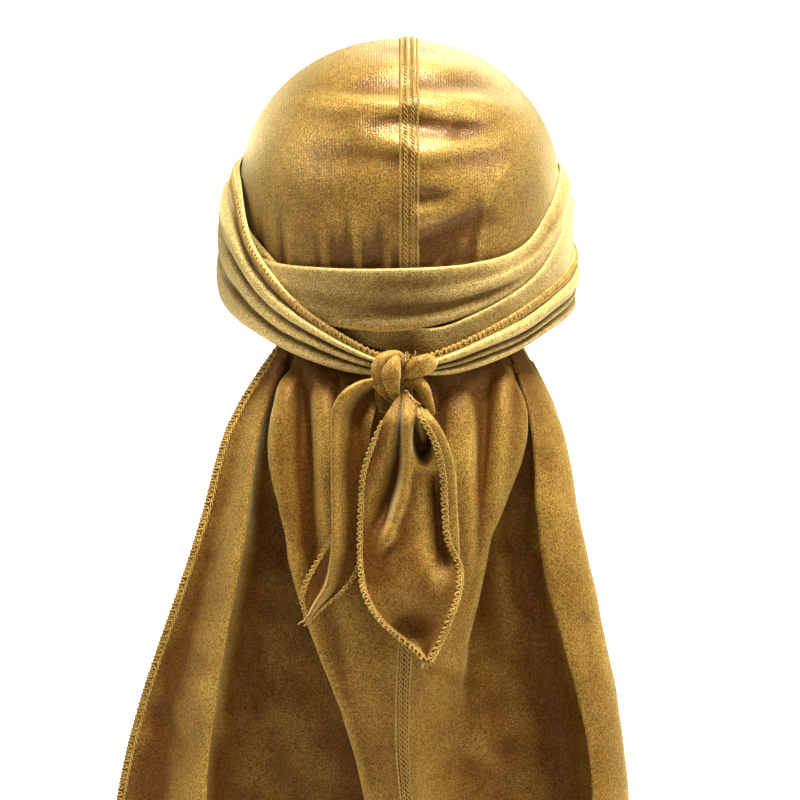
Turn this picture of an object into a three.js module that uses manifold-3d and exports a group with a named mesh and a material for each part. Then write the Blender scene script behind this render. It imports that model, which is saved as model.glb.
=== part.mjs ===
// A velvet durag in its tied form: two crown panels joined by a centre seam, a long pleated cape,
// and two straps that cross round the crown, meet in a knot at the nape and end in two tails.
// Millimetres. +Z is up, +Y is towards the wearer's face and +X is towards the wearer's right.
// The origin is inside the crown, at the top of the hollow, where the cloth rests when it is worn.
import * as THREE from "three";
import { mergeVertices } from "three/addons/utils/BufferGeometryUtils.js";
import Module from "manifold-3d";

// The hollow inside the crown: a rounded box-like egg, measured from its widest level.
const hollowHalfWidth = 77.5;
const hollowBack = 97;
const hollowFront = 95;
const hollowRise = 72.5; // from the widest level up to the top
const hollowDrop = 165; // from the widest level down to where the egg would close
const hollowSquareness = 2.04; // 2 is an ellipse, more is boxier

// Cloth and clearances.
const clothThickness = 1.5;
const gap = 0.35; // left between pieces that touch
const seamSplit = 0.5; // between the left and right panels, under the seam tape
const seamShift = 4.2; // the crown's seam lies this far to the right of the middle

// Seam tape and edge stitching.
const tapeWidth = 7;
const tapeThickness = 0.9;
const edgingWidth = 3.4;
const edgingThickness = 1.7;

// The crown's lower edge, below the top of the hollow.
const edgeDropFront = 84;
const edgeDropSide = 104;
const edgeDropBack = 147.5;

// The cape.
const capeHalfAngle = 44; // degrees of the crown's edge that it hangs from, each side of the back
const capeJoin = 0.95; // between the crown's edge and the cape, where they are sewn
const capeLength = 268; // from its neck level to its hem
const neckDrop = 169.5; // the level just below the straps
const neckHalfWidth = 75;
const waistHalfWidth = 98;
const skirtHalfWidth = 131;
const hemHalfWidth = 147;
const pleatDepth = 50; // from the edges of the cape out to its centre pleat
const capePlane = 68; // how far behind the top of the hollow the deep parts of the cape hang

// The straps. Each rides outside the layers below it.
const strapLift = 2.3; // from the hollow to the lowest strap
const strapPitch = 2.3; // from one layer to the next
const strapThickness = 1.6;
const strapFoldHeight = 1.5;
const strapReach = 150; // the height over which the straps' edges are spread

// The knot and the two tails.
const knotOut = 104; // how far behind the top of the hollow its middle lies
const knotDrop = 157.5;
const knotSize = 26;
const tailThickness = 1.5;
const tailProud = 17; // how far the leaf stands behind the middle of the knot
const leafLength = 124;
const leafHalfWidth = 23;
const foldTailLength = 108;
const foldTailWidth = 32;

const degree = Math.PI / 180;
const { sin, cos, abs, pow, exp, min, max, PI } = Math;
const clamp = THREE.MathUtils.clamp;
const smooth = (x, low, high) => THREE.MathUtils.smoothstep(x, low, high);
const mix = THREE.MathUtils.lerp;
const spread = (count) => Array.from({ length: count + 1 }, (_, i) => i / count);

// A bell curve: 1 at the middle, falling away over the given width.
const bell = (x, middle, width) => exp(-(((x - middle) / width) ** 2));

// A smooth curve through rows of a table. key is the column to run along, name the column to read.
function along(rows, key, name) {
  return (x) => {
    const last = rows.length - 1;
    let i = 0;
    while (i < last - 1 && x > rows[i + 1][key]) i += 1;
    const at = (k) => rows[clamp(k, 0, last)][name];
    const t = clamp((x - rows[i][key]) / (rows[i + 1][key] - rows[i][key]), 0, 1);
    const [p0, p1, p2, p3] = [at(i - 1), at(i), at(i + 1), at(i + 2)];
    return (
      p1 +
      0.5 * t * (p2 - p0 + t * (2 * p0 - 5 * p1 + 4 * p2 - p3 + t * (3 * (p1 - p2) + p3 - p0)))
    );
  };
}

// The hollow's level and its share of full width there, for a fall of phi degrees from the top.
function fall(phi, lift) {
  const reach = (phi < 90 ? hollowRise : hollowDrop) + lift;
  const level = pow(abs(cos(phi * degree)), 2 / hollowSquareness) * reach;
  return {
    z: -hollowRise + (phi < 90 ? level : -level),
    share: pow(sin(phi * degree), 2 / hollowSquareness),
  };
}

// The fall in degrees at which the hollow reaches a level.
function fallAt(z, lift) {
  const above = z > -hollowRise;
  const reach = (above ? hollowRise : hollowDrop) + lift;
  const part = pow(clamp(abs(z + hollowRise) / reach, 0, 1), hollowSquareness / 2);
  return above ? 90 - Math.asin(part) / degree : 90 + Math.asin(part) / degree;
}

// A point lifted off the hollow. azimuth is 0 at the back, 90 at +X and 180 at the front.
function around(azimuth, share, z, lift) {
  const across = sin(azimuth * degree);
  const behind = cos(azimuth * degree);
  const depth = (behind > 0 ? hollowBack : hollowFront) + lift;
  const width = hollowHalfWidth + lift;
  const n = hollowSquareness;
  const radius = share / pow(pow(abs(across) / width, n) + pow(abs(behind) / depth, n), 1 / n);
  return new THREE.Vector3(radius * across, -radius * behind, z);
}

const onHollow = (azimuth, z, lift) =>
  around(azimuth, fall(fallAt(z, lift), lift).share, z, lift);

// A closed solid between two grids of points, with a rim round its four sides.
// Rows that close to a point are allowed.
function slab(outer, inner) {
  const rows = outer.length;
  const columns = outer[0].length;
  const position = [...outer.flat(), ...inner.flat()].flatMap((p) => [p.x, p.y, p.z]);
  const at = (side, i, j) => side * rows * columns + i * columns + j;
  const faces = [];
  const quad = (a, b, c, d) => faces.push(a, b, c, a, c, d);
  for (let i = 0; i + 1 < rows; i += 1)
    for (let j = 0; j + 1 < columns; j += 1) {
      quad(at(0, i, j), at(0, i + 1, j), at(0, i + 1, j + 1), at(0, i, j + 1));
      quad(at(1, i, j), at(1, i, j + 1), at(1, i + 1, j + 1), at(1, i + 1, j));
    }
  for (let i = 0; i + 1 < rows; i += 1) {
    quad(at(0, i, 0), at(1, i, 0), at(1, i + 1, 0), at(0, i + 1, 0));
    const j = columns - 1;
    quad(at(0, i, j), at(0, i + 1, j), at(1, i + 1, j), at(1, i, j));
  }
  for (let j = 0; j + 1 < columns; j += 1) {
    quad(at(0, 0, j), at(0, 0, j + 1), at(1, 0, j + 1), at(1, 0, j));
    const i = rows - 1;
    quad(at(0, i, j), at(1, i, j), at(1, i, j + 1), at(0, i, j + 1));
  }
  return closed(position, faces);
}

// A closed solid through rings of points, capped at both ends.
function loft(rings) {
  const sides = rings[0].length;
  const centre = (ring) =>
    ring.reduce((sum, p) => sum.add(p), new THREE.Vector3()).divideScalar(sides);
  const points = [...rings.flat(), centre(rings[0]), centre(rings.at(-1))];
  const at = (i, j) => i * sides + (j % sides);
  const faces = [];
  for (let i = 0; i + 1 < rings.length; i += 1)
    for (let j = 0; j < sides; j += 1)
      faces.push(at(i, j), at(i + 1, j), at(i + 1, j + 1), at(i, j), at(i + 1, j + 1), at(i, j + 1));
  const [first, last] = [rings.length * sides, rings.length * sides + 1];
  for (let j = 0; j < sides; j += 1) {
    faces.push(first, at(0, j), at(0, j + 1));
    faces.push(last, at(rings.length - 1, j + 1), at(rings.length - 1, j));
  }
  return closed(points.flatMap((p) => [p.x, p.y, p.z]), faces);
}

// Shared points are merged, faces that closed to a line are dropped, and the rest face outwards.
function closed(position, faces) {
  const raw = new THREE.BufferGeometry();
  raw.setAttribute("position", new THREE.Float32BufferAttribute(position, 3));
  raw.setIndex(faces);
  const merged = mergeVertices(raw, 1e-4);
  const old = merged.index.array;
  const kept = [];
  for (let k = 0; k < old.length; k += 3) {
    const [a, b, c] = [old[k], old[k + 1], old[k + 2]];
    if (a !== b && b !== c && a !== c) kept.push(a, b, c);
  }
  const point = (k) => new THREE.Vector3().fromBufferAttribute(merged.attributes.position, k);
  let volume = 0;
  for (let k = 0; k < kept.length; k += 3)
    volume += point(kept[k]).dot(point(kept[k + 1]).cross(point(kept[k + 2])));
  if (volume < 0)
    for (let k = 0; k < kept.length; k += 3)
      [kept[k + 1], kept[k + 2]] = [kept[k + 2], kept[k + 1]];
  merged.setIndex(kept);
  return merged;
}

// A grid of points with the direction out of the cloth's face at each of them.
function faced(grid) {
  const row = (k) => grid[clamp(k, 0, grid.length - 1)];
  const normalAt = (i, j) => {
    const down = row(i + 1)[j].clone().sub(row(i - 1)[j]);
    const right = grid[i][min(j + 1, grid[i].length - 1)].clone().sub(grid[i][max(j - 1, 0)]);
    return down.cross(right).normalize();
  };
  return grid.map((line, i) => line.map((point, j) => ({ point, normal: normalAt(i, j) })));
}

const lifted = ({ point, normal }, lift) => point.clone().addScaledVector(normal, lift);

// Cloth of even thickness, half of it on each side of a faced grid.
function cloth(sheet, thickness) {
  const side = (lift) => sheet.map((line) => line.map((spot) => lifted(spot, lift)));
  return slab(side(thickness / 2), side(-thickness / 2));
}

// Edge stitching as a flat cord along the first (-1) or last (1) column of a faced grid.
function edging(sheet, side, width = edgingWidth, thickness = edgingThickness) {
  const sides = 4;
  const rings = sheet.map((line) => {
    const edge = line.at(side < 0 ? 0 : -1);
    const inward = line.at(side < 0 ? 1 : -2);
    const out = edge.point.clone().sub(inward.point).normalize();
    const middle = edge.point.clone().addScaledVector(out, 1.4 * gap + width / 2);
    return spread(sides).slice(0, sides).map((turn) =>
      middle
        .clone()
        .addScaledVector(out, (width / 2) * cos(turn * 2 * PI))
        .addScaledVector(edge.normal, (thickness / 2) * sin(turn * 2 * PI)),
    );
  });
  return loft(rings);
}

const turned = (sheet) => sheet[0].map((_, j) => sheet.map((line) => line[j]));

// The crown's dents, where the cloth is drawn in beside the seam and gathered above the straps.
// azimuth in degrees, drop as a share of the crown's back edge, depth in cloth thicknesses.
const crownDents = [
  { azimuth: 30, drop: 0.16, depth: 1.2, spanAzimuth: 40, spanDrop: 0.05 },
  { azimuth: -16, drop: 0.36, depth: 1.6, spanAzimuth: 14, spanDrop: 0.05 },
  { azimuth: 18, drop: 0.35, depth: 2.4, spanAzimuth: 20, spanDrop: 0.055 },
  { azimuth: 14, drop: 0.56, depth: 1.8, spanAzimuth: 13, spanDrop: 0.05 },
  { azimuth: 12, drop: 0.67, depth: 1.6, spanAzimuth: 12, spanDrop: 0.05 },
  { azimuth: -9, drop: 0.69, depth: 1.4, spanAzimuth: 4, spanDrop: 0.09 },
  { azimuth: -18, drop: 0.69, depth: 1.2, spanAzimuth: 3.5, spanDrop: 0.08 },
];

const crownDent = (azimuth, z) =>
  crownDents.reduce((sum, d) => {
    const turn = THREE.MathUtils.euclideanModulo(azimuth + 180, 360) - 180;
    const near = bell(turn, d.azimuth, d.spanAzimuth);
    return sum + d.depth * clothThickness * near * bell(-z / edgeDropBack, d.drop, d.spanDrop);
  }, 0);

// The level of the crown's lower edge: low at the back, rising past the ears to the forehead.
function crownEdge(azimuth) {
  const turn = abs(azimuth);
  const toSide = mix(edgeDropBack, edgeDropSide, pow(clamp(turn / 90, 0, 1), 1.6));
  return -(turn < 90 ? toSide : mix(edgeDropSide, edgeDropFront, smooth(turn, 90, 160)));
}

// The point moved in or out from the widest level's middle until it is lifted off the hollow.
function pressed(point, lift) {
  const from = point.clone().setZ(point.z + hollowRise);
  const reach = [
    hollowHalfWidth + lift,
    (from.y < 0 ? hollowBack : hollowFront) + lift,
    (from.z > 0 ? hollowRise : hollowDrop) + lift,
  ];
  const n = hollowSquareness;
  const size = from.toArray().reduce((sum, v, k) => sum + pow(abs(v) / reach[k], n), 0);
  from.multiplyScalar(pow(size, -1 / n));
  return from.setZ(from.z - hollowRise);
}

// A point on the crown, s running from 0 at the top to 1 at the lower edge. split keeps it that
// far from the seam, and slide moves it along the seam tape's width.
function crownPoint(azimuth, s, lift, split = 0, slide = 0) {
  const { z, share } = fall(s * fallAt(crownEdge(azimuth), 0), 0);
  const p = around(azimuth, share, z, 0);
  const x = split ? Math.sign(split) * max(abs(p.x), abs(split)) : slide;
  p.setX(x + seamShift * (1 - (x / hollowHalfWidth) ** 2));
  const raised = lift - crownDent(azimuth, z);
  const top = pressed(p, raised);
  const side = onHollow(Math.atan2(p.x, -p.y) / degree, z, raised);
  return top.lerp(side, smooth(s, 0.45, 0.9));
}

const crownSteps = 16; // from the top to the lower edge

function crownPanel(side) {
  const sheet = (lift) =>
    spread(crownSteps).map((s) =>
      spread(14).map((turn) => crownPoint(side * turn * 180, s, lift, (side * seamSplit) / 2)),
    );
  return slab(sheet(clothThickness), sheet(0));
}

// The seam tape over the crown, from the front edge over the top and down to the straps.
function crownSeam() {
  const [frontEnd, backEnd] = [-12, 14]; // in crownSteps, short of the edge and under the straps
  const route = spread(backEnd - frontEnd).map((t) => mix(frontEnd, backEnd, t) / crownSteps);
  const strip = (lift) =>
    route.map((s) =>
      [-0.5, 0.5].map((share) => crownPoint(s < 0 ? 180 : 0, abs(s), lift, 0, share * tapeWidth)),
    );
  const base = clothThickness + gap;
  return slab(strip(base + tapeThickness), strip(base));
}

// The straps. Each row of a table is a station along the strap: turn is its azimuth in degrees,
// top and low are its edges' drops as shares of strapReach, layer counts from the lowest and
// lean is the share of strapLean by which the top edge leans in, where nothing lies under it.
// flare is the share of strapFlare by which the low edge stands away, over the ear.
const leftStrap = [
  { turn: -118, top: 0.44, low: 0.563, layer: 0, lean: 0, flare: 0 },
  { turn: -100, top: 0.483, low: 0.663, layer: 0, lean: 0, flare: 0 },
  { turn: -75, top: 0.543, low: 0.743, layer: 0, lean: 0, flare: 0 },
  { turn: -55, top: 0.628, low: 0.803, layer: 0, lean: 0, flare: 0 },
  { turn: -28, top: 0.708, low: 0.893, layer: 0, lean: 0, flare: 0 },
  { turn: 0, top: 0.763, low: 0.973, layer: 0, lean: 0, flare: 0 },
  { turn: 22, top: 0.773, low: 0.968, layer: 0, lean: 0, flare: 0 },
  { turn: 45, top: 0.713, low: 0.883, layer: 0, lean: 0, flare: 0 },
  { turn: 70, top: 0.633, low: 0.783, layer: 0.1, lean: 0, flare: 0 },
  { turn: 84, top: 0.603, low: 0.738, layer: 1, lean: 0, flare: 0 },
  { turn: 97, top: 0.563, low: 0.698, layer: 2, lean: 0, flare: 0 },
  { turn: 112, top: 0.503, low: 0.663, layer: 2, lean: 0, flare: 0 },
  { turn: 145, top: 0.353, low: 0.533, layer: 2, lean: 0.4, flare: 0 },
  { turn: 180, top: 0.293, low: 0.473, layer: 2, lean: 0.4, flare: 0 },
  { turn: 215, top: 0.303, low: 0.523, layer: 2, lean: 0.7, flare: 0 },
  { turn: 245, top: 0.353, low: 0.643, layer: 2, lean: 1, flare: 0.3 },
  { turn: 270, top: 0.398, low: 0.813, layer: 2.1, lean: 1, flare: 1 },
  { turn: 292, top: 0.473, low: 0.883, layer: 2.2, lean: 1, flare: 0.8 },
  { turn: 311, top: 0.653, low: 0.938, layer: 2.2, lean: 0.05, flare: 0.3 },
  { turn: 331, top: 0.828, low: 1.003, layer: 2, lean: 0, flare: 0 },
  { turn: 346, top: 0.928, low: 1.038, layer: 2, lean: 0, flare: 0 },
  { turn: 353, top: 0.968, low: 1.043, layer: 2.4, lean: 0, flare: 0 },
  { turn: 359, top: 0.985, low: 1.035, layer: 4.8, lean: 0, flare: 0 },
];
const rightStrap = [
  { turn: 150, top: 0.363, low: 0.513, layer: 0, lean: 0, flare: 0 },
  { turn: 130, top: 0.393, low: 0.513, layer: 0, lean: 0, flare: 0 },
  { turn: 112, top: 0.393, low: 0.523, layer: 1, lean: 0, flare: 0 },
  { turn: 96, top: 0.403, low: 0.543, layer: 1, lean: 0.4, flare: 0 },
  { turn: 80, top: 0.423, low: 0.583, layer: 1, lean: 0.6, flare: 0 },
  { turn: 60, top: 0.528, low: 0.673, layer: 1, lean: 0.6, flare: 0 },
  { turn: 41, top: 0.645, low: 0.768, layer: 1, lean: 0.6, flare: 0 },
  { turn: 20, top: 0.693, low: 0.858, layer: 1, lean: 0.15, flare: 0 },
  { turn: 0, top: 0.705, low: 0.903, layer: 1, lean: 0, flare: 0 },
  { turn: -22, top: 0.707, low: 0.888, layer: 1, lean: 0, flare: 0 },
  { turn: -46, top: 0.698, low: 0.843, layer: 1, lean: 0, flare: 0 },
  { turn: -70, top: 0.613, low: 0.773, layer: 1, lean: 0, flare: 0 },
  { turn: -90, top: 0.533, low: 0.723, layer: 1, lean: 0, flare: 0 },
  { turn: -115, top: 0.453, low: 0.643, layer: 1, lean: 0, flare: 0 },
  { turn: -145, top: 0.373, low: 0.563, layer: 1, lean: 0.3, flare: 0 },
  { turn: -180, top: 0.343, low: 0.513, layer: 1, lean: 0.4, flare: 0 },
  { turn: -215, top: 0.413, low: 0.583, layer: 1, lean: 0, flare: 0 },
  { turn: -240, top: 0.553, low: 0.713, layer: 1, lean: 0, flare: 0 },
  { turn: -262, top: 0.713, low: 0.843, layer: 1.1, lean: 0, flare: 0 },
  { turn: -275, top: 0.763, low: 0.873, layer: 2, lean: 0, flare: 0 },
  { turn: -290, top: 0.783, low: 0.893, layer: 2, lean: 0.3, flare: 0 },
  { turn: -308, top: 0.813, low: 0.928, layer: 2, lean: 0.3, flare: 0 },
  { turn: -330, top: 0.898, low: 1.003, layer: 2, lean: 0.1, flare: 0 },
  { turn: -347, top: 0.968, low: 1.043, layer: 2, lean: 0, flare: 0 },
  { turn: -351, top: 0.983, low: 1.043, layer: 2.4, lean: 0, flare: 0 },
  { turn: -356, top: 0.985, low: 1.035, layer: 4.4, lean: 0, flare: 0 },
];

// A strap's folds lie along it, as rounded ribs between its two edges.
const strapFolds = [
  { place: 0.34, width: 0.13, height: 1 },
  { place: 0.72, width: 0.14, height: 0.8 },
];
const strapLean = 4.4;
const strapFlare = 5;

function strapPoint(rows, turn, share, lift) {
  const sign = Math.sign(rows.at(-1).turn - rows[0].turn);
  const keyed = rows.map((row) => ({ ...row, way: sign * row.turn }));
  const read = (name) => along(keyed, "way", name)(sign * turn);
  const ribs = strapFolds.reduce((sum, f) => sum + f.height * bell(share, f.place, f.width), 0);
  const z = -strapReach * mix(read("top"), read("low"), share);
  const free = smooth(read("layer"), 1.9, 2); // only the outermost wraps stand up in ribs
  const lean = strapLean * read("lean") * bell(share, 0, 0.2);
  const raised = free * strapFoldHeight * ribs + strapFlare * read("flare") * share * share - lean;
  const height = strapLift + strapPitch * read("layer") + lift + raised;
  return onHollow(turn, z, height);
}

const strapGrid = (rows, [from, to], steps, lift) =>
  spread(steps).map((t) =>
    spread(6).map((share) => strapPoint(rows, mix(from, to, t), share, lift)),
  );

function strapSolid(rows) {
  const whole = [rows[0].turn, rows.at(-1).turn];
  return slab(strapGrid(rows, whole, 48, strapThickness), strapGrid(rows, whole, 48, 0));
}

// The overlocked edge shows along the top of the last wrap of each strap.
const strapEdging = (rows, range) =>
  edging(faced(strapGrid(rows, range, 12, strapThickness / 2 + gap / 2)), -1, edgingWidth * 0.8);

// The lowest level that the straps reach at an azimuth behind the head.
function strapLowest(azimuth) {
  const left = along(leftStrap, "turn", "low")(azimuth + 360);
  const right = along(rightStrap.toReversed(), "turn", "low")(azimuth - 360);
  return -strapReach * max(azimuth < -4 ? left : 0, azimuth > 6 ? right : 0, min(left, right));
}

// The cape's fold lines from its left edge to its right edge. hold is the place on the crown's
// edge as a share of capeHalfAngle. At each level below the straps, x is a share of that level's
// half width and out is a share of the pleat depth, measured from the cape's plane.
const capeFolds = [
  { hold: -1, x: [-1.0, -1.0, -1.0, -1.0], out: [-0.3, -0.14, 0.04, 0.1] },
  { hold: -0.95, x: [-0.92, -0.89, -0.86, -0.84], out: [0.0, 0.26, 0.22, 0.2] },
  { hold: -0.9, x: [-0.84, -0.765, -0.7, -0.645], out: [0.16, 0.6, 0.68, 0.74] },
  { hold: -0.87, x: [-0.82, -0.77, -0.715, -0.67], out: [0.1, 0.34, 0.4, 0.42] },
  { hold: -0.84, x: [-0.8, -0.71, -0.64, -0.58], out: [0.03, 0.04, 0.06, 0.06] },
  { hold: -0.81, x: [-0.785, -0.58, -0.42, -0.3], out: [0.02, -0.02, -0.04, -0.04] },
  { hold: -0.78, x: [-0.77, -0.44, -0.15, -0.04], out: [0.08, 0.06, 0.06, 0.06] },
  { hold: -0.74, x: [-0.775, -0.46, -0.11, 0.0], out: [0.24, 0.38, 0.4, 0.42] },
  { hold: -0.67, x: [-0.73, -0.53, -0.155, -0.02], out: [0.42, 0.64, 0.68, 0.68] },
  { hold: -0.55, x: [-0.57, -0.43, -0.1, 0.02], out: [0.34, 0.62, 0.8, 0.82] },
  { hold: -0.42, x: [-0.42, -0.28, -0.05, 0.05], out: [0.5, 0.76, 0.88, 0.92] },
  { hold: -0.2, x: [-0.2, -0.12, -0.02, 0.075], out: [0.4, 0.8, 0.94, 0.98] },
  { hold: 0.04, x: [0.04, 0.04, 0.01, 0.1], out: [0.42, 0.88, 0.98, 1.0] },
  { hold: 0.27, x: [0.29, 0.17, 0.05, 0.14], out: [0.5, 0.84, 0.86, 0.88] },
  { hold: 0.44, x: [0.46, 0.28, 0.085, 0.18], out: [0.38, 0.74, 0.72, 0.7] },
  { hold: 0.6, x: [0.62, 0.37, 0.13, 0.24], out: [0.38, 0.66, 0.56, 0.5] },
  { hold: 0.72, x: [0.755, 0.42, 0.19, 0.3], out: [0.26, 0.54, 0.4, 0.34] },
  { hold: 0.77, x: [0.77, 0.375, 0.28, 0.38], out: [0.14, 0.28, 0.24, 0.2] },
  { hold: 0.8, x: [0.775, 0.46, 0.42, 0.46], out: [0.1, 0.08, 0.1, 0.12] },
  { hold: 0.83, x: [0.785, 0.63, 0.6, 0.56], out: [0.1, 0.04, 0.04, 0.08] },
  { hold: 0.86, x: [0.8, 0.72, 0.725, 0.665], out: [0.12, 0.28, 0.34, 0.36] },
  { hold: 0.89, x: [0.8, 0.685, 0.69, 0.63], out: [0.2, 0.54, 0.6, 0.64] },
  { hold: 0.93, x: [0.88, 0.8, 0.76, 0.72], out: [0.08, 0.46, 0.5, 0.5] },
  { hold: 0.97, x: [0.945, 0.885, 0.815, 0.765], out: [-0.12, 0.2, 0.24, 0.26] },
  { hold: 1, x: [0.93, 0.84, 0.77, 0.72], out: [-0.34, -0.12, -0.04, 0.0] },
];
const seamFold = 12; // the row of the table that carries the seam
const capeLevels = [
  { level: 0, halfWidth: neckHalfWidth },
  { level: 0.254, halfWidth: waistHalfWidth },
  { level: 0.627, halfWidth: skirtHalfWidth },
  { level: 1, halfWidth: hemHalfWidth },
];

// One fold line from where it comes out from under the straps to the hem.
function foldLine(fold) {
  const azimuth = capeHalfAngle * fold.hold;
  const under = onHollow(azimuth, strapLowest(azimuth) + 2, clothThickness / 2);
  const rows = capeLevels.map(({ level, halfWidth }, k) => ({
    z: -(neckDrop + capeLength * level),
    x: halfWidth * fold.x[k],
    y: -(capePlane + pleatDepth * fold.out[k]),
  }));
  return [under, ...rows].map(({ x, y, z }) => ({ x, y, drop: -z }));
}

const foldLines = capeFolds.map(foldLine);

// A point on the cape. u runs along the fold table and t from the crown's edge to the hem.
const capeUnder = 0.045; // share of the way down at which the cloth comes out from the straps

function capePoint(u, t) {
  const k = clamp(Math.floor(u), 0, capeFolds.length - 2);
  const lines = [-1, 0, 1, 2].map((step) => {
    const i = clamp(k + step, 0, capeFolds.length - 1);
    const top = foldLines[i][0].drop;
    const share = (t - capeUnder) / (1 - capeUnder);
    const drop = mix(top, neckDrop + capeLength, max(share, 0));
    const read = (name) => along(foldLines[i], "drop", name)(drop);
    return { at: step, hold: capeFolds[i].hold, x: read("x"), y: read("y"), drop };
  });
  const read = (name) => along(lines, "at", name)(u - k);
  if (t >= capeUnder) return new THREE.Vector3(read("x"), read("y"), -read("drop"));
  const azimuth = capeHalfAngle * read("hold");
  const level = mix(crownEdge(azimuth) - capeJoin, -read("drop"), t / capeUnder);
  return onHollow(azimuth, level, clothThickness / 2);
}

const capeRows = [0, 0.045, 0.07, 0.1, 0.14, 0.19, 0.25, 0.33, 0.42, 0.53, 0.65, 0.77, 0.89, 1];
const capeColumns = 2 * (capeFolds.length - 1);

function capeSheet() {
  return faced(
    capeRows.map((t) =>
      spread(capeColumns).map((share) => capePoint(share * (capeFolds.length - 1), t)),
    ),
  );
}

// One panel of the cape, cut back a little from the seam.
function capePanel(sheet, side) {
  const seam = 2 * seamFold;
  return sheet.map((line) => {
    const next = line[seam + side].point.clone().sub(line[seam].point);
    const cut = lifted(line[seam], 0).addScaledVector(next.normalize(), seamSplit / 2);
    const edge = { point: cut, normal: line[seam].normal };
    return side < 0 ? [...line.slice(0, seam), edge] : [edge, ...line.slice(seam + 1)];
  });
}

// The seam tape down the cape's centre pleat, from under the knot to the hem.
function capeSeam(sheet) {
  const column = 2 * seamFold;
  const strip = (lift) =>
    sheet.slice(3).map((line) => {
      const across = line[column + 1].point.clone().sub(line[column - 1].point).normalize();
      return [-0.35, 0.35].map((share) =>
        lifted(line[column], lift).addScaledVector(across, share * tapeWidth),
      );
    });
  const base = clothThickness / 2 + 2 * gap;
  return slab(strip(base + tapeThickness), strip(base));
}

// A loop of the knot: a flattened tube through stations given as shares of the knot's size,
// x to the right, out away from the crown and up, with its half width and half thickness.
function knotLoop(stations, extra = 0) {
  const place = (s) =>
    new THREE.Vector3(s.x * knotSize, -knotOut - s.out * knotSize, -knotDrop + s.up * knotSize);
  const curve = new THREE.CatmullRomCurve3(stations.map(place), false, "centripetal");
  const steps = 12;
  const frames = curve.computeFrenetFrames(steps, false);
  const flat = new THREE.Vector3(0, -1, 0);
  const keyed = stations.map((s, i) => ({ ...s, at: i / (stations.length - 1) }));
  return loft(
    spread(steps).map((t, i) => {
      const tangent = frames.tangents[i];
      const across = flat.clone().cross(tangent).normalize();
      const normal = tangent.clone().cross(across).normalize();
      const half = along(keyed, "at", "half")(t) * knotSize + extra;
      const thick = along(keyed, "at", "thick")(t) * knotSize + extra;
      return spread(10).slice(0, 10).map((turn) =>
        curve
          .getPoint(t)
          .addScaledVector(across, half * cos(turn * 2 * PI))
          .addScaledVector(normal, thick * sin(turn * 2 * PI)),
      );
    }),
  );
}

const knotLoops = {
  left: [
    { x: 0.12, up: 0.3, out: -0.16, half: 0.12, thick: 0.12 },
    { x: -0.1, up: 0.27, out: 0.1, half: 0.2, thick: 0.16 },
    { x: -0.3, up: 0.0, out: 0.22, half: 0.3, thick: 0.2 },
    { x: -0.22, up: -0.28, out: 0.16, half: 0.24, thick: 0.18 },
    { x: -0.02, up: -0.46, out: -0.06, half: 0.14, thick: 0.12 },
  ],
  right: [
    { x: 0.66, up: 0.06, out: -0.14, half: 0.18, thick: 0.12 },
    { x: 0.5, up: 0.14, out: 0.04, half: 0.24, thick: 0.17 },
    { x: 0.28, up: 0.12, out: 0.1, half: 0.24, thick: 0.18 },
    { x: 0.08, up: 0.02, out: -0.04, half: 0.18, thick: 0.14 },
  ],
  lower: [
    { x: 0.12, up: -0.14, out: -0.06, half: 0.12, thick: 0.12 },
    { x: 0.34, up: -0.2, out: 0.1, half: 0.16, thick: 0.14 },
    { x: 0.48, up: -0.38, out: 0.16, half: 0.17, thick: 0.13 },
    { x: 0.5, up: -0.6, out: 0.14, half: 0.13, thick: 0.1 },
  ],
};

// The leaf-shaped right tail. down is a share of its length, centre and half of its half width.
const leafRows = [
  { down: 0, centre: 0.06, half: 0.1, curl: 0 },
  { down: 0.09, centre: 0.14, half: 0.45, curl: 0.1 },
  { down: 0.22, centre: 0.15, half: 0.79, curl: 0.2 },
  { down: 0.41, centre: 0.13, half: 0.95, curl: 0.3 },
  { down: 0.59, centre: 0.15, half: 0.99, curl: 0.5 },
  { down: 0.74, centre: 0.21, half: 0.97, curl: 0.8 },
  { down: 0.85, centre: 0.28, half: 0.7, curl: 1 },
  { down: 0.94, centre: 0.4, half: 0.36, curl: 1 },
  { down: 1, centre: 0.53, half: 0.08, curl: 0.9 },
];
const leafCurl = 9; // how far the rims stand proud of the middle near the tip
const leafGroove = 8; // the depth of the deeper groove below the knot
const leafTuck = 8; // how far the top of the leaf goes back into the knot
const leafDrop = 4; // from the middle of the knot to the top of the leaf

function leafPoint(down, across) {
  const read = (name) => along(leafRows, "down", name)(down);
  const x = leafHalfWidth * (read("centre") + read("half") * across);
  const rim = leafCurl * read("curl") * across * across;
  const groove = leafGroove * bell(across, -0.08, 0.2) * (1 - smooth(down, 0.3, 0.6));
  const second = 0.7 * leafGroove * bell(across, 0.5, 0.2) * (1 - smooth(down, 0.24, 0.4));
  const settle = smooth(down, 0, 0.12);
  const grooved = settle * (groove + second);
  const out = knotOut + tailProud - leafTuck * (1 - settle) + rim - grooved;
  return new THREE.Vector3(x, -out, -knotDrop - leafDrop - leafLength * down);
}

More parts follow.
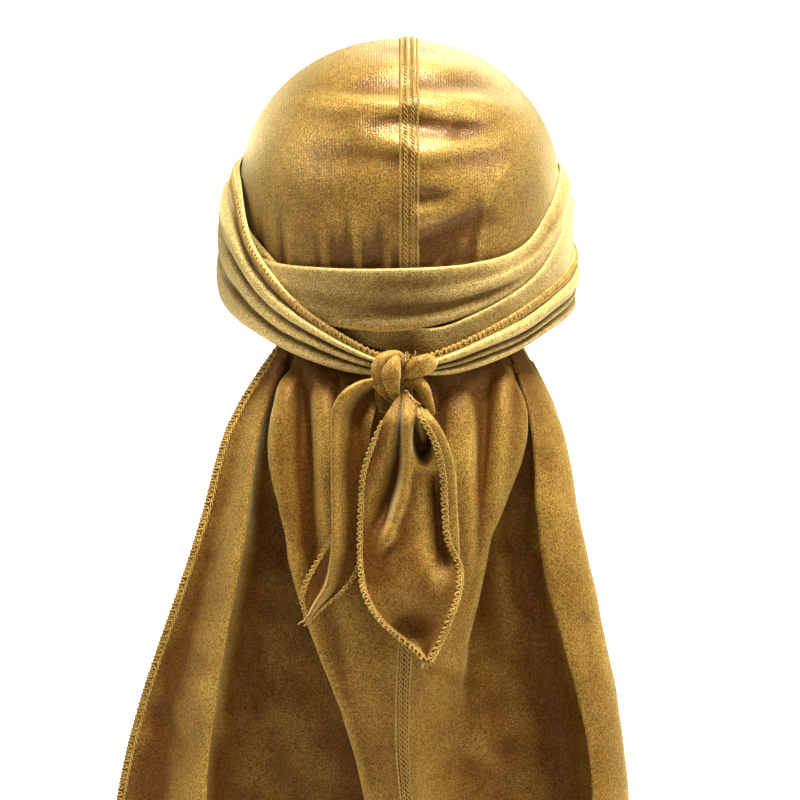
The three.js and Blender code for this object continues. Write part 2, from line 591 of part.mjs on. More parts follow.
// The folded left tail: it leaves the knot sideways, turns down over a shoulder and is folded in
// two along its left side, with the fold opening at the tip. x and z are shares of its width and
// length, for the front edge, the fold and the back edge.
const foldTailRows = [
  { down: 0, frontX: -0.42, frontZ: 0.06, foldX: -0.42, foldZ: -0.02, backX: -0.46, backZ: 0.03 },
  { down: 0.1, frontX: -0.4, frontZ: 0.15, foldX: -0.74, foldZ: 0.0, backX: -0.5, backZ: 0.1 },
  { down: 0.22, frontX: -0.42, frontZ: 0.24, foldX: -0.95, foldZ: 0.09, backX: -0.56, backZ: 0.2 },
  { down: 0.4, frontX: -0.46, frontZ: 0.38, foldX: -0.98, foldZ: 0.28, backX: -0.62, backZ: 0.36 },
  { down: 0.58, frontX: -0.49, frontZ: 0.55, foldX: -0.975, foldZ: 0.49, backX: -0.72, backZ: 0.53 },
  { down: 0.72, frontX: -0.5, frontZ: 0.7, foldX: -0.985, foldZ: 0.66, backX: -0.98, backZ: 0.65 },
  { down: 0.84, frontX: -0.6, frontZ: 0.82, foldX: -1.0, foldZ: 0.8, backX: -1.26, backZ: 0.78 },
  { down: 0.93, frontX: -0.86, frontZ: 0.91, foldX: -1.1, foldZ: 0.9, backX: -1.4, backZ: 0.88 },
  { down: 1, frontX: -1.28, frontZ: 1.0, foldX: -1.32, foldZ: 0.99, backX: -1.38, backZ: 0.98 },
];
const foldTailRise = 7; // how far the fold stands in front of the tail's edges
const foldTailBehind = 12; // from the leaf back to this tail, at the knot
const foldTailSwing = 3; // how much of that it loses on the way down

function foldTailPoint(down, across) {
  const read = (name) => along(foldTailRows, "down", name)(down);
  const front = { x: read("frontX"), z: read("frontZ") };
  const fold = { x: read("foldX"), z: read("foldZ") };
  const back = { x: read("backX"), z: read("backZ") };
  const between = (a, b, share) => ({ x: mix(a.x, b.x, share), z: mix(a.z, b.z, share) });
  const rows = [
    { at: -1, ...front, out: 0.1 },
    { at: -0.45, ...between(front, fold, 0.55), out: 0.62 },
    { at: 0, ...fold, out: 1 },
    { at: 0.45, ...between(fold, back, 0.5), out: 0.1 },
    { at: 1, ...back, out: -0.15 },
  ];
  const at = (name) => along(rows, "at", name)(across);
  const open = smooth(down, 0, 0.3);
  const raised = foldTailRise * at("out") * mix(0.5, 1, open);
  const out = knotOut + tailProud - foldTailBehind + foldTailSwing * open + raised;
  return new THREE.Vector3(foldTailWidth * at("x"), -out, -knotDrop - foldTailLength * at("z"));
}

const tailSheet = (pointAt, columns) =>
  faced(spread(14).map((down) => spread(columns).map((share) => pointAt(down, 2 * share - 1))));

const wasm = await Module();
wasm.setup();

function toManifold(geometry) {
  const plain = geometry.clone();
  return new wasm.Manifold(
    new wasm.Mesh({
      numProp: 3,
      vertProperties: new Float32Array(plain.attributes.position.array),
      triVerts: new Uint32Array(plain.index.array),
    }),
  );
}

// What is left of a piece once the others are cut away from it: its largest body.
function trimmed(geometry, cutters) {
  const cut = cutters.reduce((left, c) => left.subtract(toManifold(c)), toManifold(geometry));
  const bodies = cut.decompose().sort((a, b) => b.volume() - a.volume());
  const mesh = bodies[0].getMesh();
  const made = new THREE.BufferGeometry();
  made.setAttribute("position", new THREE.BufferAttribute(mesh.vertProperties, 3));
  made.setIndex(new THREE.BufferAttribute(mesh.triVerts, 1));
  return made;
}

const velvet = (colour) =>
  new THREE.MeshStandardMaterial({ color: colour, roughness: 0.75, metalness: 0 });
const velvetCrown = velvet(0xa87a2c);
const velvetCape = velvet(0x9a6d24);
const velvetStrap = velvet(0xc6a45a);
const thread = new THREE.MeshStandardMaterial({ color: 0xcfa650, roughness: 0.6, metalness: 0 });

const durag = new THREE.Group();
function add(name, geometry, material) {
  const mesh = new THREE.Mesh(geometry, material);
  mesh.name = name;
  durag.add(mesh);
}

add("crown_left", crownPanel(-1), velvetCrown);
add("crown_right", crownPanel(1), velvetCrown);
add("crown_seam", crownSeam(), thread);

const cape = capeSheet();
const capeLeft = capePanel(cape, -1);
const capeRight = capePanel(cape, 1);
add("cape_left", cloth(capeLeft, clothThickness), velvetCape);
add("cape_right", cloth(capeRight, clothThickness), velvetCape);
add("cape_seam", capeSeam(cape), thread);
add("cape_left_edging", edging(capeLeft, -1), thread);
add("cape_right_edging", edging(capeRight, 1), thread);
add("cape_left_hem", edging(turned(capeLeft), 1), thread);
add("cape_right_hem", edging(turned(capeRight), 1), thread);

const loops = Object.fromEntries(
  Object.entries(knotLoops).map(([name, rows]) => [name, knotLoop(rows)]),
);
const swollen = Object.fromEntries(
  Object.entries(knotLoops).map(([name, rows]) => [name, knotLoop(rows, gap)]),
);
add("knot_left_loop", loops.left, velvetStrap);
add("knot_right_loop", trimmed(loops.right, [swollen.left]), velvetStrap);
add("knot_lower_loop", trimmed(loops.lower, [swollen.left, swollen.right]), velvetStrap);

const knotCutters = Object.values(swollen);
add("strap_left", trimmed(strapSolid(leftStrap), knotCutters), velvetStrap);
add("strap_right", trimmed(strapSolid(rightStrap), knotCutters), velvetStrap);
add("strap_left_edging", trimmed(strapEdging(leftStrap, [250, 340]), knotCutters), thread);
add("strap_right_edging", trimmed(strapEdging(rightStrap, [-280, -344]), knotCutters), thread);

const foldTail = tailSheet(foldTailPoint, 8);
const leaf = tailSheet(leafPoint, 10);
add("tail_left", trimmed(cloth(foldTail, tailThickness), knotCutters), velvetStrap);
add("tail_right", trimmed(cloth(leaf, tailThickness), knotCutters), velvetStrap);
add("tail_left_front_edging", edging(foldTail.slice(4, 14), -1, 2.6, 1.7), thread);
add("tail_left_back_edging", edging(foldTail.slice(8, 14), 1, 2.6, 1.7), thread);
add("tail_right_left_edging", edging(leaf.slice(2, 14), -1, 2.6, 1.7), thread);
add("tail_right_right_edging", edging(leaf.slice(2, 14), 1, 2.6, 1.7), thread);

export default durag;
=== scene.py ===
import math

import bpy
import numpy as np
from bpy.props import FloatProperty, FloatVectorProperty, PointerProperty
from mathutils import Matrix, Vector


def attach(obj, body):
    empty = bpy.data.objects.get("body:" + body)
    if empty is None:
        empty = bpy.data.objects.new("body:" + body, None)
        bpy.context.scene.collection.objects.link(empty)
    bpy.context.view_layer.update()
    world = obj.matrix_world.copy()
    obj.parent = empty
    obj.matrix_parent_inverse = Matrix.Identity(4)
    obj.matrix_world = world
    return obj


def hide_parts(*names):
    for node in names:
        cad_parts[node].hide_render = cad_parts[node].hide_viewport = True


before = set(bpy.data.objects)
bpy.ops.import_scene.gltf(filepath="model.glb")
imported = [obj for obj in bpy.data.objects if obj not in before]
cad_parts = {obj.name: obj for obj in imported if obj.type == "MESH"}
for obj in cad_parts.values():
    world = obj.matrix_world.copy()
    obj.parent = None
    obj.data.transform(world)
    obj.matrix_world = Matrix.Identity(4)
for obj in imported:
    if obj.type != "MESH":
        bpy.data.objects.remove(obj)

bl_info = {
    "name": "Velvet Durag",
    "version": (1, 0, 0),
    "blender": (4, 5, 0),
    "location": "View3D > Sidebar > Durag",
    "description": "Dresses a tied durag: velvet crown, cape, straps, knot, tails and edges",
    "category": "Add Mesh",
}

# Lengths below are in millimetres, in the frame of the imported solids: the origin is the top of the
# hollow, +Z is up and -Y is towards the back. A piece's mesh is turned to metres when it is made.
MM = 0.001

# The hollow: half widths from its widest level, and the power of its rounded-box curve.
HALF_WIDTH, BACK, FRONT, RISE, DROP, SQUARE = 77.5, 97.0, 95.0, 72.5, 165.0, 2.04
CLOTH = 1.5
SEAM_SHIFT = 4.2  # the crown's seam lies this far to the right of the middle
EDGE_FRONT, EDGE_SIDE, EDGE_BACK = 84.0, 104.0, 147.5

STRAP_LIFT, STRAP_PITCH, STRAP_THICK, STRAP_REACH = 2.3, 2.3, 1.6, 150.0
STRAP_LEAN, STRAP_FLARE = 4.4, 5.0

# The cape: half angle that it hangs from, length below the straps, and its widths at four levels.
CAPE_ANGLE, CAPE_LENGTH = 44.0, 268.0
CAPE_DROP, PLEAT_DEPTH, CAPE_PLANE = 169.5, 50.0, 68.0
LEVELS = np.array([0.0, 0.254, 0.627, 1.0])
HALF_WIDTHS = np.array([75.0, 98.0, 131.0, 147.0])

# The tails: cloth, how far out the leaf hangs, its length and its top below the origin.
TAIL_CLOTH = 1.2
TAIL_OUT, LEAF_LENGTH, LEAF_TOP = 121.0, 124.0, 161.5

# The seams: how far each panel keeps from the middle, the tape's columns and rounded profile, and
# the rows of stitches as (column of the tape, width of the chain).
SEAM_GAP = 0.25
TAPE_ACROSS = np.linspace(-1, 1, 13)
TAPE_PROFILE = np.sqrt(1 - 0.96 * TAPE_ACROSS**2)
SEAM_ROWS = ((1, 0.5), (4, 1.5), (8, 1.5), (11, 0.5))
SEAM_PITCH, SEAM_LIFT, SEAM_THREAD, SEAM_STEP = 2.3, 0.12, 0.3, 0.4
# Half width of each tape, and the lift of its top and base
CROWN_TAPE = (4.7, 0.75, -0.3)
CAPE_TAPE = (3.5, 0.7, -0.4)
CROWN_ROUTE = (-0.985, 0.875)  # the crown's tape from the front (negative) to the back
CAPE_TAPE_START = 3  # the row of the cape's grid at which its tape starts
# Points along one overlock stitch
STITCH_POINTS = 9


# ---------------------------------------------------------------- curves and frames


def smooth(x, low, high):
    """0 below low, 1 above high, and 3t^2 - 2t^3 between them."""
    t = np.clip((np.asarray(x, float) - low) / (high - low), 0, 1)
    return t * t * (3 - 2 * t)


def bell(x, middle, width):
    """exp(-((x - middle) / width)^2)."""
    return np.exp(-(((x - middle) / width) ** 2))


def mix(a, b, t):
    """a + (b - a) t."""
    return a + (b - a) * t


def curve(keys, values, at):
    """A cubic through (key, value) rows. The slope at a row is that of the parabola through it and
    its neighbours, so uneven keys stay smooth. values may have several columns."""
    keys, values, at = (np.asarray(a, float) for a in (keys, values, at))
    table = values.reshape(len(keys), -1)
    step = np.diff(keys)[:, None]
    rise = np.diff(table, axis=0) / step
    slope = np.concatenate([rise[:1], rise])
    slope[1:-1] = (rise[:-1] * step[1:] + rise[1:] * step[:-1]) / (step[:-1] + step[1:])
    i = np.clip(np.searchsorted(keys, at, side="right") - 1, 0, len(keys) - 2)
    t = np.clip((at - keys[i]) / step[i, 0], 0, 1)[..., None]
    a, b, m, n, h = table[i], table[i + 1], slope[i], slope[i + 1], step[i]
    out = (
        a * (1 + 2 * t) * (1 - t) ** 2
        + b * t * t * (3 - 2 * t)
        + m * h * t * (1 - t) ** 2
        + n * h * t * t * (t - 1)
    )
    return out[..., 0] if values.ndim == 1 else out


def unit(v):
    """v over its length, row by row."""
    return v / np.maximum(np.linalg.norm(v, axis=-1, keepdims=True), 1e-9)


def normals(grid):
    """The direction out of a grid's face: down the rows cross along the columns."""
    return unit(np.cross(np.gradient(grid, axis=0), np.gradient(grid, axis=1)))


def lengths_along(path):
    """The length from a path's start to each of its points."""
    return np.concatenate([[0], np.cumsum(np.linalg.norm(np.diff(path, axis=0), axis=1))])


def ripples(p, size, seed):
    """Soft unevenness from -1 to 1: the mean of six plane waves of random direction and phase,
    with wavelengths from 0.7 to 1.6 times size."""
    rng = np.random.default_rng(seed)
    total = 0.0
    for _ in range(6):
        way = unit(rng.normal(size=3)) * 2 * np.pi / (size * rng.uniform(0.7, 1.6))
        total = total + np.sin(p @ way + rng.uniform(0, 2 * np.pi))
    return total / 6


# ---------------------------------------------------------------- the hollow's form


def level_share(z, lift):
    """The hollow's share of full width at height z: (1 - |z / reach|^n)^(1/n) from its widest."""
    reach = np.where(z > -RISE, RISE, DROP) + lift
    return np.maximum(1 - np.clip(np.abs(z + RISE) / reach, 0, 1) ** SQUARE, 0) ** (1 / SQUARE)


def around(azimuth, share, z, lift):
    """The point at an azimuth, 0 at the back and 90 at +X, on a level curve
    |x / width|^n + |y / depth|^n = share^n of the hollow lifted by lift."""
    a = np.radians(azimuth)
    across, behind = np.sin(a), np.cos(a)
    depth = np.where(behind > 0, BACK, FRONT) + lift
    bulk = np.abs(across / (HALF_WIDTH + lift)) ** SQUARE + np.abs(behind / depth) ** SQUARE
    r = share / bulk ** (1 / SQUARE)
    return np.stack(np.broadcast_arrays(r * across, -r * behind, z), -1)


def on_hollow(azimuth, z, lift):
    """The point at an azimuth and height on the hollow lifted by lift."""
    azimuth, z, lift = np.broadcast_arrays(azimuth, z, lift)
    return around(azimuth, level_share(z, lift), z, lift)


def pressed(p, lift):
    """p moved from the widest level's middle until |x/a|^n + |y/b|^n + |z/c|^n = 1."""
    q = p + [0, 0, RISE]
    reach = np.stack(
        [
            HALF_WIDTH + lift,
            np.where(q[..., 1] < 0, BACK, FRONT) + lift,
            np.where(q[..., 2] > 0, RISE, DROP) + lift,
        ],
        -1,
    )
    size = (np.abs(q / reach) ** SQUARE).sum(-1, keepdims=True)
    return q * size ** (-1 / SQUARE) - [0, 0, RISE]


# ---------------------------------------------------------------- meshes


def fill_mesh(name, points, faces, uv=None, relief=None, node=None, slot=None, material=None):
    """A smooth-shaded mesh piece from points in millimetres and quads. uv is in millimetres along
    the cloth, per point, and is stored in centimetres. relief is -1 in hollows and 1 on crests, for
    painted shade in the hollows and a painted highlight on the crests."""
    old = bpy.data.objects.get(name)
    if old is not None:
        bpy.data.objects.remove(old)
    mesh = bpy.data.meshes.new(name)
    faces = np.asarray(faces, np.int32)
    mesh.vertices.add(len(points))
    mesh.vertices.foreach_set("co", (np.asarray(points, float) * MM).astype(np.float32).ravel())
    mesh.loops.add(faces.size)
    mesh.loops.foreach_set("vertex_index", faces.ravel())
    mesh.polygons.add(len(faces))
    mesh.polygons.foreach_set("loop_start", np.arange(len(faces), dtype=np.int32) * faces.shape[1])
    mesh.polygons.foreach_set("use_smooth", np.ones(len(faces), bool))
    if uv is not None:
        layer = mesh.uv_layers.new(name="cloth")
        layer.uv.foreach_set("vector", (np.asarray(uv, float)[faces.ravel()] * 0.1).ravel())
    if relief is not None:
        layer = mesh.attributes.new("relief", "FLOAT", "POINT")
        layer.data.foreach_set("value", np.asarray(relief, np.float32).ravel())
    mesh.update(calc_edges=True)
    mesh.validate()
    piece = bpy.data.objects.new(name, mesh)
    bpy.context.scene.collection.objects.link(piece)
    piece.data.materials.append(material)
    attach(piece, "root")
    if node:
        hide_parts(node)
    return piece


def grid_quads(rows, columns, start=0, flip=False):
    """The quads of a grid of points numbered row by row."""
    i, j = np.meshgrid(np.arange(rows - 1), np.arange(columns - 1), indexing="ij")
    a = (start + i * columns + j).ravel()
    quads = np.stack([a, a + columns, a + columns + 1, a + 1], 1)
    return quads[:, ::-1] if flip else quads


def walls(outer, inner):
    """Points and quads of a closed sheet: two grids, and a rim round their four sides."""
    rows, columns = outer.shape[:2]
    n = rows * columns
    index = np.arange(n).reshape(rows, columns)
    ring = np.concatenate([index[:, 0], index[-1, 1:], index[-2::-1, -1], index[0, -2:0:-1]])
    after = np.roll(ring, -1)
    rim = np.stack([ring, ring + n, after + n, after], 1)
    faces = np.concatenate(
        [grid_quads(rows, columns), grid_quads(rows, columns, n, flip=True), rim]
    )
    return np.concatenate([outer.reshape(-1, 3), inner.reshape(-1, 3)]), faces


def arc_uv(grid):
    """Lengths along the cloth in millimetres, across each row and down its middle column."""
    across = np.linalg.norm(np.diff(grid, axis=1), axis=2)
    u = np.concatenate([np.zeros((len(grid), 1)), np.cumsum(across, axis=1)], 1)
    u = u - u[:, u.shape[1] // 2, None]
    v = lengths_along(grid[:, grid.shape[1] // 2])
    return np.stack([u, np.broadcast_to(v[:, None], u.shape)], -1)


def blurred(grid, rows, columns):
    """The grid with each point replaced by the mean of a window of rows by columns round it."""
    for axis, reach in ((0, rows), (1, columns)):
        for _ in range(2):
            ends = [(0, 0)] * grid.ndim
            ends[axis] = (reach + 1, reach)
            total = np.cumsum(np.pad(grid, ends, mode="edge"), axis=axis)
            size = grid.shape[axis]
            high = np.take(total, np.arange(2 * reach + 1, 2 * reach + 1 + size), axis)
            grid = (high - np.take(total, np.arange(size), axis)) / (2 * reach + 1)
    return grid


def painted_shading_of(grid, reach, depth):
    """-1 in hollows and 1 on crests, seen from the side that normals() faces: how far each point
    stands off the surface blurred over reach millimetres, as a share of depth. It sets painted shade
    in hollows and a painted highlight on crests."""
    steps = (np.median(np.linalg.norm(np.diff(grid, axis=axis), axis=2)) for axis in (0, 1))
    windows = [int(np.clip(reach / (2 * max(step, 0.05)), 1, 60)) for step in steps]
    off = ((grid - blurred(grid, *windows)) * normals(grid)).sum(-1)
    return np.clip((off - np.median(off)) / depth, -1, 1)


def sheet_mesh(name, outer, inner, relief=None, uv=None, **facts):
    """A closed sheet from the grids of its two faces. The painted shading, painted shade in hollows
    and a painted highlight on crests, is that of the outer face, and is turned over for the inner
    one. uv is one grid for both faces or a pair of grids, and follows the outer face where it isn't
    given."""
    points, faces = walls(outer, inner)
    uv = np.broadcast_to(arc_uv(outer) if uv is None else uv, (2, *outer.shape[:2], 2))
    if relief is not None:
        relief = np.stack([relief, -relief])
    return fill_mesh(name, points, faces, uv.reshape(-1, 2), relief, **facts)


def make_sheet(name, grid, thickness, reach=9.0, depth=1.2, shaded_to=0.0, **facts):
    """Cloth of even thickness, half of it each side of a grid of points. It gets painted shade in
    its hollows and a painted highlight on its crests, and painted shade, as under what it hangs
    from, down to the share shaded_to of the rows."""
    n = normals(grid) * thickness / 2
    down = np.linspace(0, 1, len(grid))[:, None]
    relief = painted_shading_of(grid, reach, depth)
    # painted shade on the top rows, below what the sheet hangs from
    relief = relief - 1.3 * (1 - smooth(down, 0.3 * shaded_to, shaded_to + 1e-6))
    return sheet_mesh(name, grid + n, grid - n, relief, arc_uv(grid), **facts)


def ring_quads(steps, sides):
    """The quads between rings of points numbered ring by ring."""
    index = np.arange(steps * sides).reshape(steps, sides)
    near, far = index[:-1], index[1:]
    return np.stack([near, np.roll(near, -1, 1), np.roll(far, -1, 1), far], -1).reshape(-1, 4)


def tube(path, beside, radius, sides=4):
    """Points and quads of a round thread along a path: at each point a ring in the plane of
    (tangent x beside) and its cross with the tangent. It closes to a point at both ends."""
    tangent = unit(np.gradient(path, axis=0))
    one = unit(np.cross(tangent, beside))
    two = np.cross(tangent, one)
    turn = np.linspace(0, 2 * np.pi, sides, endpoint=False)
    size = np.full(len(path), float(radius))
    size[[0, -1]] = 0.02
    ring = one[:, None] * np.cos(turn)[:, None] + two[:, None] * np.sin(turn)[:, None]
    points = (path[:, None] + ring * size[:, None, None]).reshape(-1, 3)
    return points, ring_quads(len(path), sides)


def joined(parts):
    """Several (points, quads) as one."""
    start = np.cumsum([0] + [len(p) for p, _ in parts[:-1]])
    points = np.concatenate([p for p, _ in parts])
    return points, np.concatenate([f + s for (_, f), s in zip(parts, start)])


# ---------------------------------------------------------------- the reference view

# The camera's tilt, its distance, the height that it aims at, and pixels times depth over side
TILT, FAR, AIM, SCALE = math.radians(6.0), 1500.0, -177.8, 3000.0
MIDDLE = 400  # of the 800 pixel square
AHEAD = np.array([0, math.cos(TILT), -math.sin(TILT)])
ABOVE = np.array([0, math.sin(TILT), math.cos(TILT)])
EYE = np.array([0, 0, AIM]) - FAR * AHEAD


def seen(p):
    """Where points fall in the reference view, an 800 pixel square: 400 + 3000 side / depth."""
    q = p - EYE
    far = q @ AHEAD
    return np.stack([MIDDLE + SCALE * q[..., 0] / far, MIDDLE - SCALE * (q @ ABOVE) / far], -1)


def placed(u, v, out):
    """The point that is seen at pixel u, v and lies out millimetres behind the hollow's middle."""
    u, v, out = np.broadcast_arrays(*(np.asarray(a, float) for a in (u, v, out)))
    side = (u - MIDDLE) / SCALE
    way = AHEAD - ((v - MIDDLE) / SCALE)[..., None] * ABOVE
    t = (-out - EYE[1]) / way[..., 1]
    p = EYE + t[..., None] * way
    p[..., 0] = t * side
    return p


def creases(p, rows, fade=0.0):
    """The summed depth of soft creases at points p. Each row is a stroke in the reference view
    from x0, y0 to x1, y1, with a bell of the given width round it and a depth in millimetres, which
    is negative for a ridge. fade is the share of the depth lost on the way to x1, y1."""
    q = seen(p)
    total = 0.0
    for x0, y0, x1, y1, width, depth in rows:
        a, way = np.array([x0, y0]), np.array([x1 - x0, y1 - y0], float)
        t = np.clip((q - a) @ way / (way @ way), 0, 1)
        away = np.linalg.norm(q - a - t[..., None] * way, axis=-1)
        total = total + depth * (1 - fade * t**1.4) * np.exp(-((away / width) ** 2))
    return total


# ---------------------------------------------------------------- crown

# azimuth, drop as a share of the back edge's, depth in cloth thicknesses, and the two spans
CROWN_DENTS = (
    (30, 0.16, 1.2, 40, 0.05),
    (-16, 0.36, 1.6, 14, 0.05),
    (18, 0.35, 2.4, 20, 0.055),
    (14, 0.56, 1.8, 13, 0.05),
    (12, 0.67, 1.6, 12, 0.05),
    (-9, 0.69, 1.4, 4, 0.09),
    (-18, 0.69, 1.2, 3.5, 0.08),
)
CROWN_CREASES = (
    (404, 55, 370, 54, 5, 0.6),
    (418, 51, 452, 54, 5, 0.8),
    (404, 67, 350, 70, 5, -0.5),
    (404, 86, 338, 92, 10, 1.6),
    (404, 107, 300, 103, 8, -1.7),
    (404, 124, 362, 130, 10, 1.8),
    (404, 146, 372, 142, 10, -1.2),
    (418, 66, 470, 68, 6, -0.5),
    (418, 80, 492, 84, 10, 1.8),
    (418, 102, 500, 102, 9, -1.5),
    (418, 126, 490, 132, 11, 2.6),
    (462, 130, 514, 116, 9, 0.9),
    (418, 154, 506, 142, 11, -2.0),
    (418, 198, 462, 195, 10, 1.6),
    (418, 218, 468, 207, 8, -1.2),
    (418, 240, 486, 222, 10, 2.0),
    (478, 266, 487, 203, 2.2, -0.8),
    (487, 203, 499, 180, 2.8, -0.6),
    (499, 180, 513, 158, 3.2, -0.4),
    (470, 262, 480, 210, 5, 0.8),
    (254, 258, 251, 205, 3.0, 0.6),
    (262, 260, 258, 208, 2.6, -0.5),
    (268, 262, 264, 208, 3.0, 0.6),
    (288, 266, 283, 200, 3.0, 0.7),
    (296, 266, 292, 216, 3.0, -0.5),
    (322, 268, 318, 226, 2.6, 0.5),
    (329, 268, 325, 226, 2.4, -0.5),
    (337, 268, 333, 222, 2.8, 0.7),
    (352, 268, 347, 206, 2.8, 0.8),
    (359, 270, 355, 214, 2.6, -0.7),
    (367, 270, 363, 224, 2.6, 0.6),
    (377, 272, 380, 222, 3.4, 1.2),
    (387, 274, 385, 240, 3, -0.6),
    (395, 272, 396, 246, 3, 0.8),
    (424, 268, 440, 240, 5, 1.0),
    (446, 268, 455, 244, 4, 0.8),
)


def fall(phi):
    """Height and share of width for a fall of phi degrees from the top of the hollow."""
    reach = np.where(phi < 90, RISE, -DROP)
    part = np.abs(np.cos(np.radians(phi))) ** (2 / SQUARE)
    return -RISE + reach * part, np.abs(np.sin(np.radians(phi))) ** (2 / SQUARE)


def fall_at(z):
    """The fall in degrees at which the hollow reaches height z."""
    reach = np.where(z > -RISE, RISE, DROP)
    part = np.degrees(np.arcsin(np.clip(np.abs(z + RISE) / reach, 0, 1) ** (SQUARE / 2)))
    return np.where(z > -RISE, 90 - part, 90 + part)


def crown_edge(azimuth):
    """The crown's lower edge: low at the back, rising along the sides to the front."""
    turn = np.abs(azimuth)
    to_side = mix(EDGE_BACK, EDGE_SIDE, np.clip(turn / 90, 0, 1) ** 1.6)
    return -np.where(turn < 90, to_side, mix(EDGE_SIDE, EDGE_FRONT, smooth(turn, 90, 160)))


def crown_point(azimuth, s, lift, split=0.0, slide=0.0):
    """A point of the crown at an azimuth, s running from 0 at the top to 1 at the lower edge.
    split keeps it that far from the seam, and slide moves it across the seam. Dents and creases are
    taken off the lift, and it is pressed on to the hollow from above near the top, from the side
    below."""
    azimuth, s = np.broadcast_arrays(np.asarray(azimuth, float), np.asarray(s, float))
    z, share = fall(s * fall_at(crown_edge(azimuth)))
    p = around(azimuth, share, z, 0)
    x = np.sign(split) * np.maximum(np.abs(p[..., 0]), abs(split)) if split else slide
    x = np.broadcast_to(x, p.shape[:-1])
    p[..., 0] = x + SEAM_SHIFT * (1 - (x / HALF_WIDTH) ** 2)
    turn = (azimuth + 180) % 360 - 180
    dent = sum(
        depth * CLOTH * bell(turn, a, wide) * bell(-z / EDGE_BACK, drop, high)
        for a, drop, depth, wide, high in CROWN_DENTS
    )
    behind = smooth(-p[..., 1], 0, 25)
    raised = lift - 0.55 * dent - 1.25 * behind * creases(p, CROWN_CREASES, 0.9)
    raised = raised + 0.35 * ripples(p, 46, 3)
    top = pressed(p, raised)
    side = on_hollow(np.degrees(np.arctan2(p[..., 0], -p[..., 1])), z, raised)
    return mix(top, side, smooth(s, 0.45, 0.9)[..., None])


def crown_uv(p):
    """The angle round the side-to-side line and the distance from the seam, as lengths in mm."""
    return np.stack([p[..., 0], 85 * np.arctan2(-p[..., 1], p[..., 2] + RISE)], -1)


def crown_panel(side, rows=124, columns=120):
    """Half of the crown on a grid of falls by azimuths, with more columns behind than in front."""
    share = np.linspace(0, 1, columns)
    turn = 180 * (0.55 * share + 0.45 * share**2.2)
    s = np.linspace(0.004, 1, rows)[:, None]
    azimuth = side * (turn if side > 0 else turn[::-1])
    return [crown_point(azimuth, s, lift, side * SEAM_GAP) for lift in (CLOTH, 0.0)]


# ---------------------------------------------------------------- straps

# turn, top and low as shares of the reach, layer, lean and flare
LEFT_STRAP = np.array([
    (-118, 0.44, 0.563, 0, 0, 0), (-100, 0.483, 0.663, 0, 0, 0), (-75, 0.543, 0.743, 0, 0, 0),
    (-55, 0.628, 0.803, 0, 0, 0), (-28, 0.77, 0.893, 0, 0, 0), (-6, 0.86, 0.962, 0, 0, 0),
    (2, 0.888, 0.985, 0.6, 0, 0), (9, 0.893, 0.992, 1.8, 0, 0), (22.6, 0.846, 0.965, 2, 0, 0),
    (31, 0.809, 0.94, 2, 0, 0),
    (41, 0.761, 0.905, 2, 0, 0), (49, 0.711, 0.88, 2, 0, 0), (55, 0.666, 0.85, 2, 0, 0),
    (62, 0.622, 0.825, 2, 0, 0), (68, 0.582, 0.79, 2, 0, 0), (75, 0.545, 0.755, 2, 0, 0),
    (84, 0.52, 0.71, 2, 0, 0), (97, 0.5, 0.66, 2, 0, 0), (112, 0.475, 0.645, 2, 0, 0),
    (145, 0.353, 0.533, 2, 0.4, 0), (180, 0.293, 0.473, 2, 0.4, 0), (215, 0.303, 0.523, 2, 0.7, 0),
    (245, 0.353, 0.643, 2, 1, 0.3), (270, 0.398, 0.813, 2.1, 1, 1),
    (292, 0.473, 0.883, 2.2, 1, 0.8),
    (311, 0.653, 0.938, 2.2, 0.05, 0.3), (331, 0.828, 1.003, 2, 0, 0), (346, 0.928, 1.038, 2, 0, 0),
    (353, 0.968, 1.043, 2.4, 0, 0), (359, 0.985, 1.035, 4.8, 0, 0),
])
RIGHT_STRAP = np.array([
    (150, 0.363, 0.513, 0, 0, 0), (130, 0.393, 0.513, 0, 0, 0), (112, 0.393, 0.523, 1, 0, 0),
    (96, 0.403, 0.543, 1, 0.4, 0), (80, 0.423, 0.583, 1, 0.6, 0), (60, 0.528, 0.673, 1, 0.6, 0),
    (41, 0.645, 0.768, 1, 0.6, 0), (20, 0.693, 0.858, 1, 0.15, 0), (0, 0.705, 0.903, 1, 0, 0),
    (-22, 0.707, 0.888, 1, 0, 0), (-46, 0.69, 0.843, 1, 0, 0), (-70, 0.613, 0.773, 1, 0, 0),
    (-90, 0.533, 0.723, 1, 0, 0), (-115, 0.453, 0.643, 1, 0, 0), (-145, 0.373, 0.563, 1, 0.3, 0),
    (-180, 0.343, 0.513, 1, 0.4, 0), (-215, 0.413, 0.583, 1, 0, 0), (-240, 0.563, 0.713, 1, 0, 0),
    (-262, 0.645, 0.83, 2.2, 0, 0), (-275, 0.69, 0.87, 3, 0, 0), (-290, 0.735, 0.893, 3, 0.2, 0),
    (-308, 0.785, 0.928, 3, 0.2, 0), (-330, 0.876, 1.003, 3, 0.1, 0), (-347, 0.955, 1.043, 3, 0, 0),
    (-351, 0.972, 1.043, 3.2, 0, 0), (-356, 0.985, 1.035, 4.4, 0, 0),
])
# Where the valleys between a strap's lengthwise folds lie, as shares of its width, and how high
# the folds between them stand. on is the turn from which the folds show.
LEFT_FOLDS = {
    "valleys": (0.0, 0.2, 0.44, 0.7, 1.0), "heights": (0.6, 3.6, 3.4, 3.6), "on": (228, 256)}
RIGHT_FOLDS = {
    "valleys": (0.0, 0.2, 0.56, 0.76, 1.0), "heights": (0.6, 3.6, 2.6, 3.6), "on": (255, 285)}
# Soft waves on the broad first wrap of the right strap: turn, share, spans of both, height
WRAP_WAVES = (
    (30, 0.42, 26, 0.09, 0.9), (22, 0.66, 24, 0.08, -0.8), (8, 0.84, 24, 0.06, 0.7),
    (44, 0.62, 14, 0.12, 0.9), (-40, 0.3, 20, 0.12, 0.5), (-30, 0.7, 26, 0.1, 0.4),
    (52, 0.25, 14, 0.1, -0.7),
)


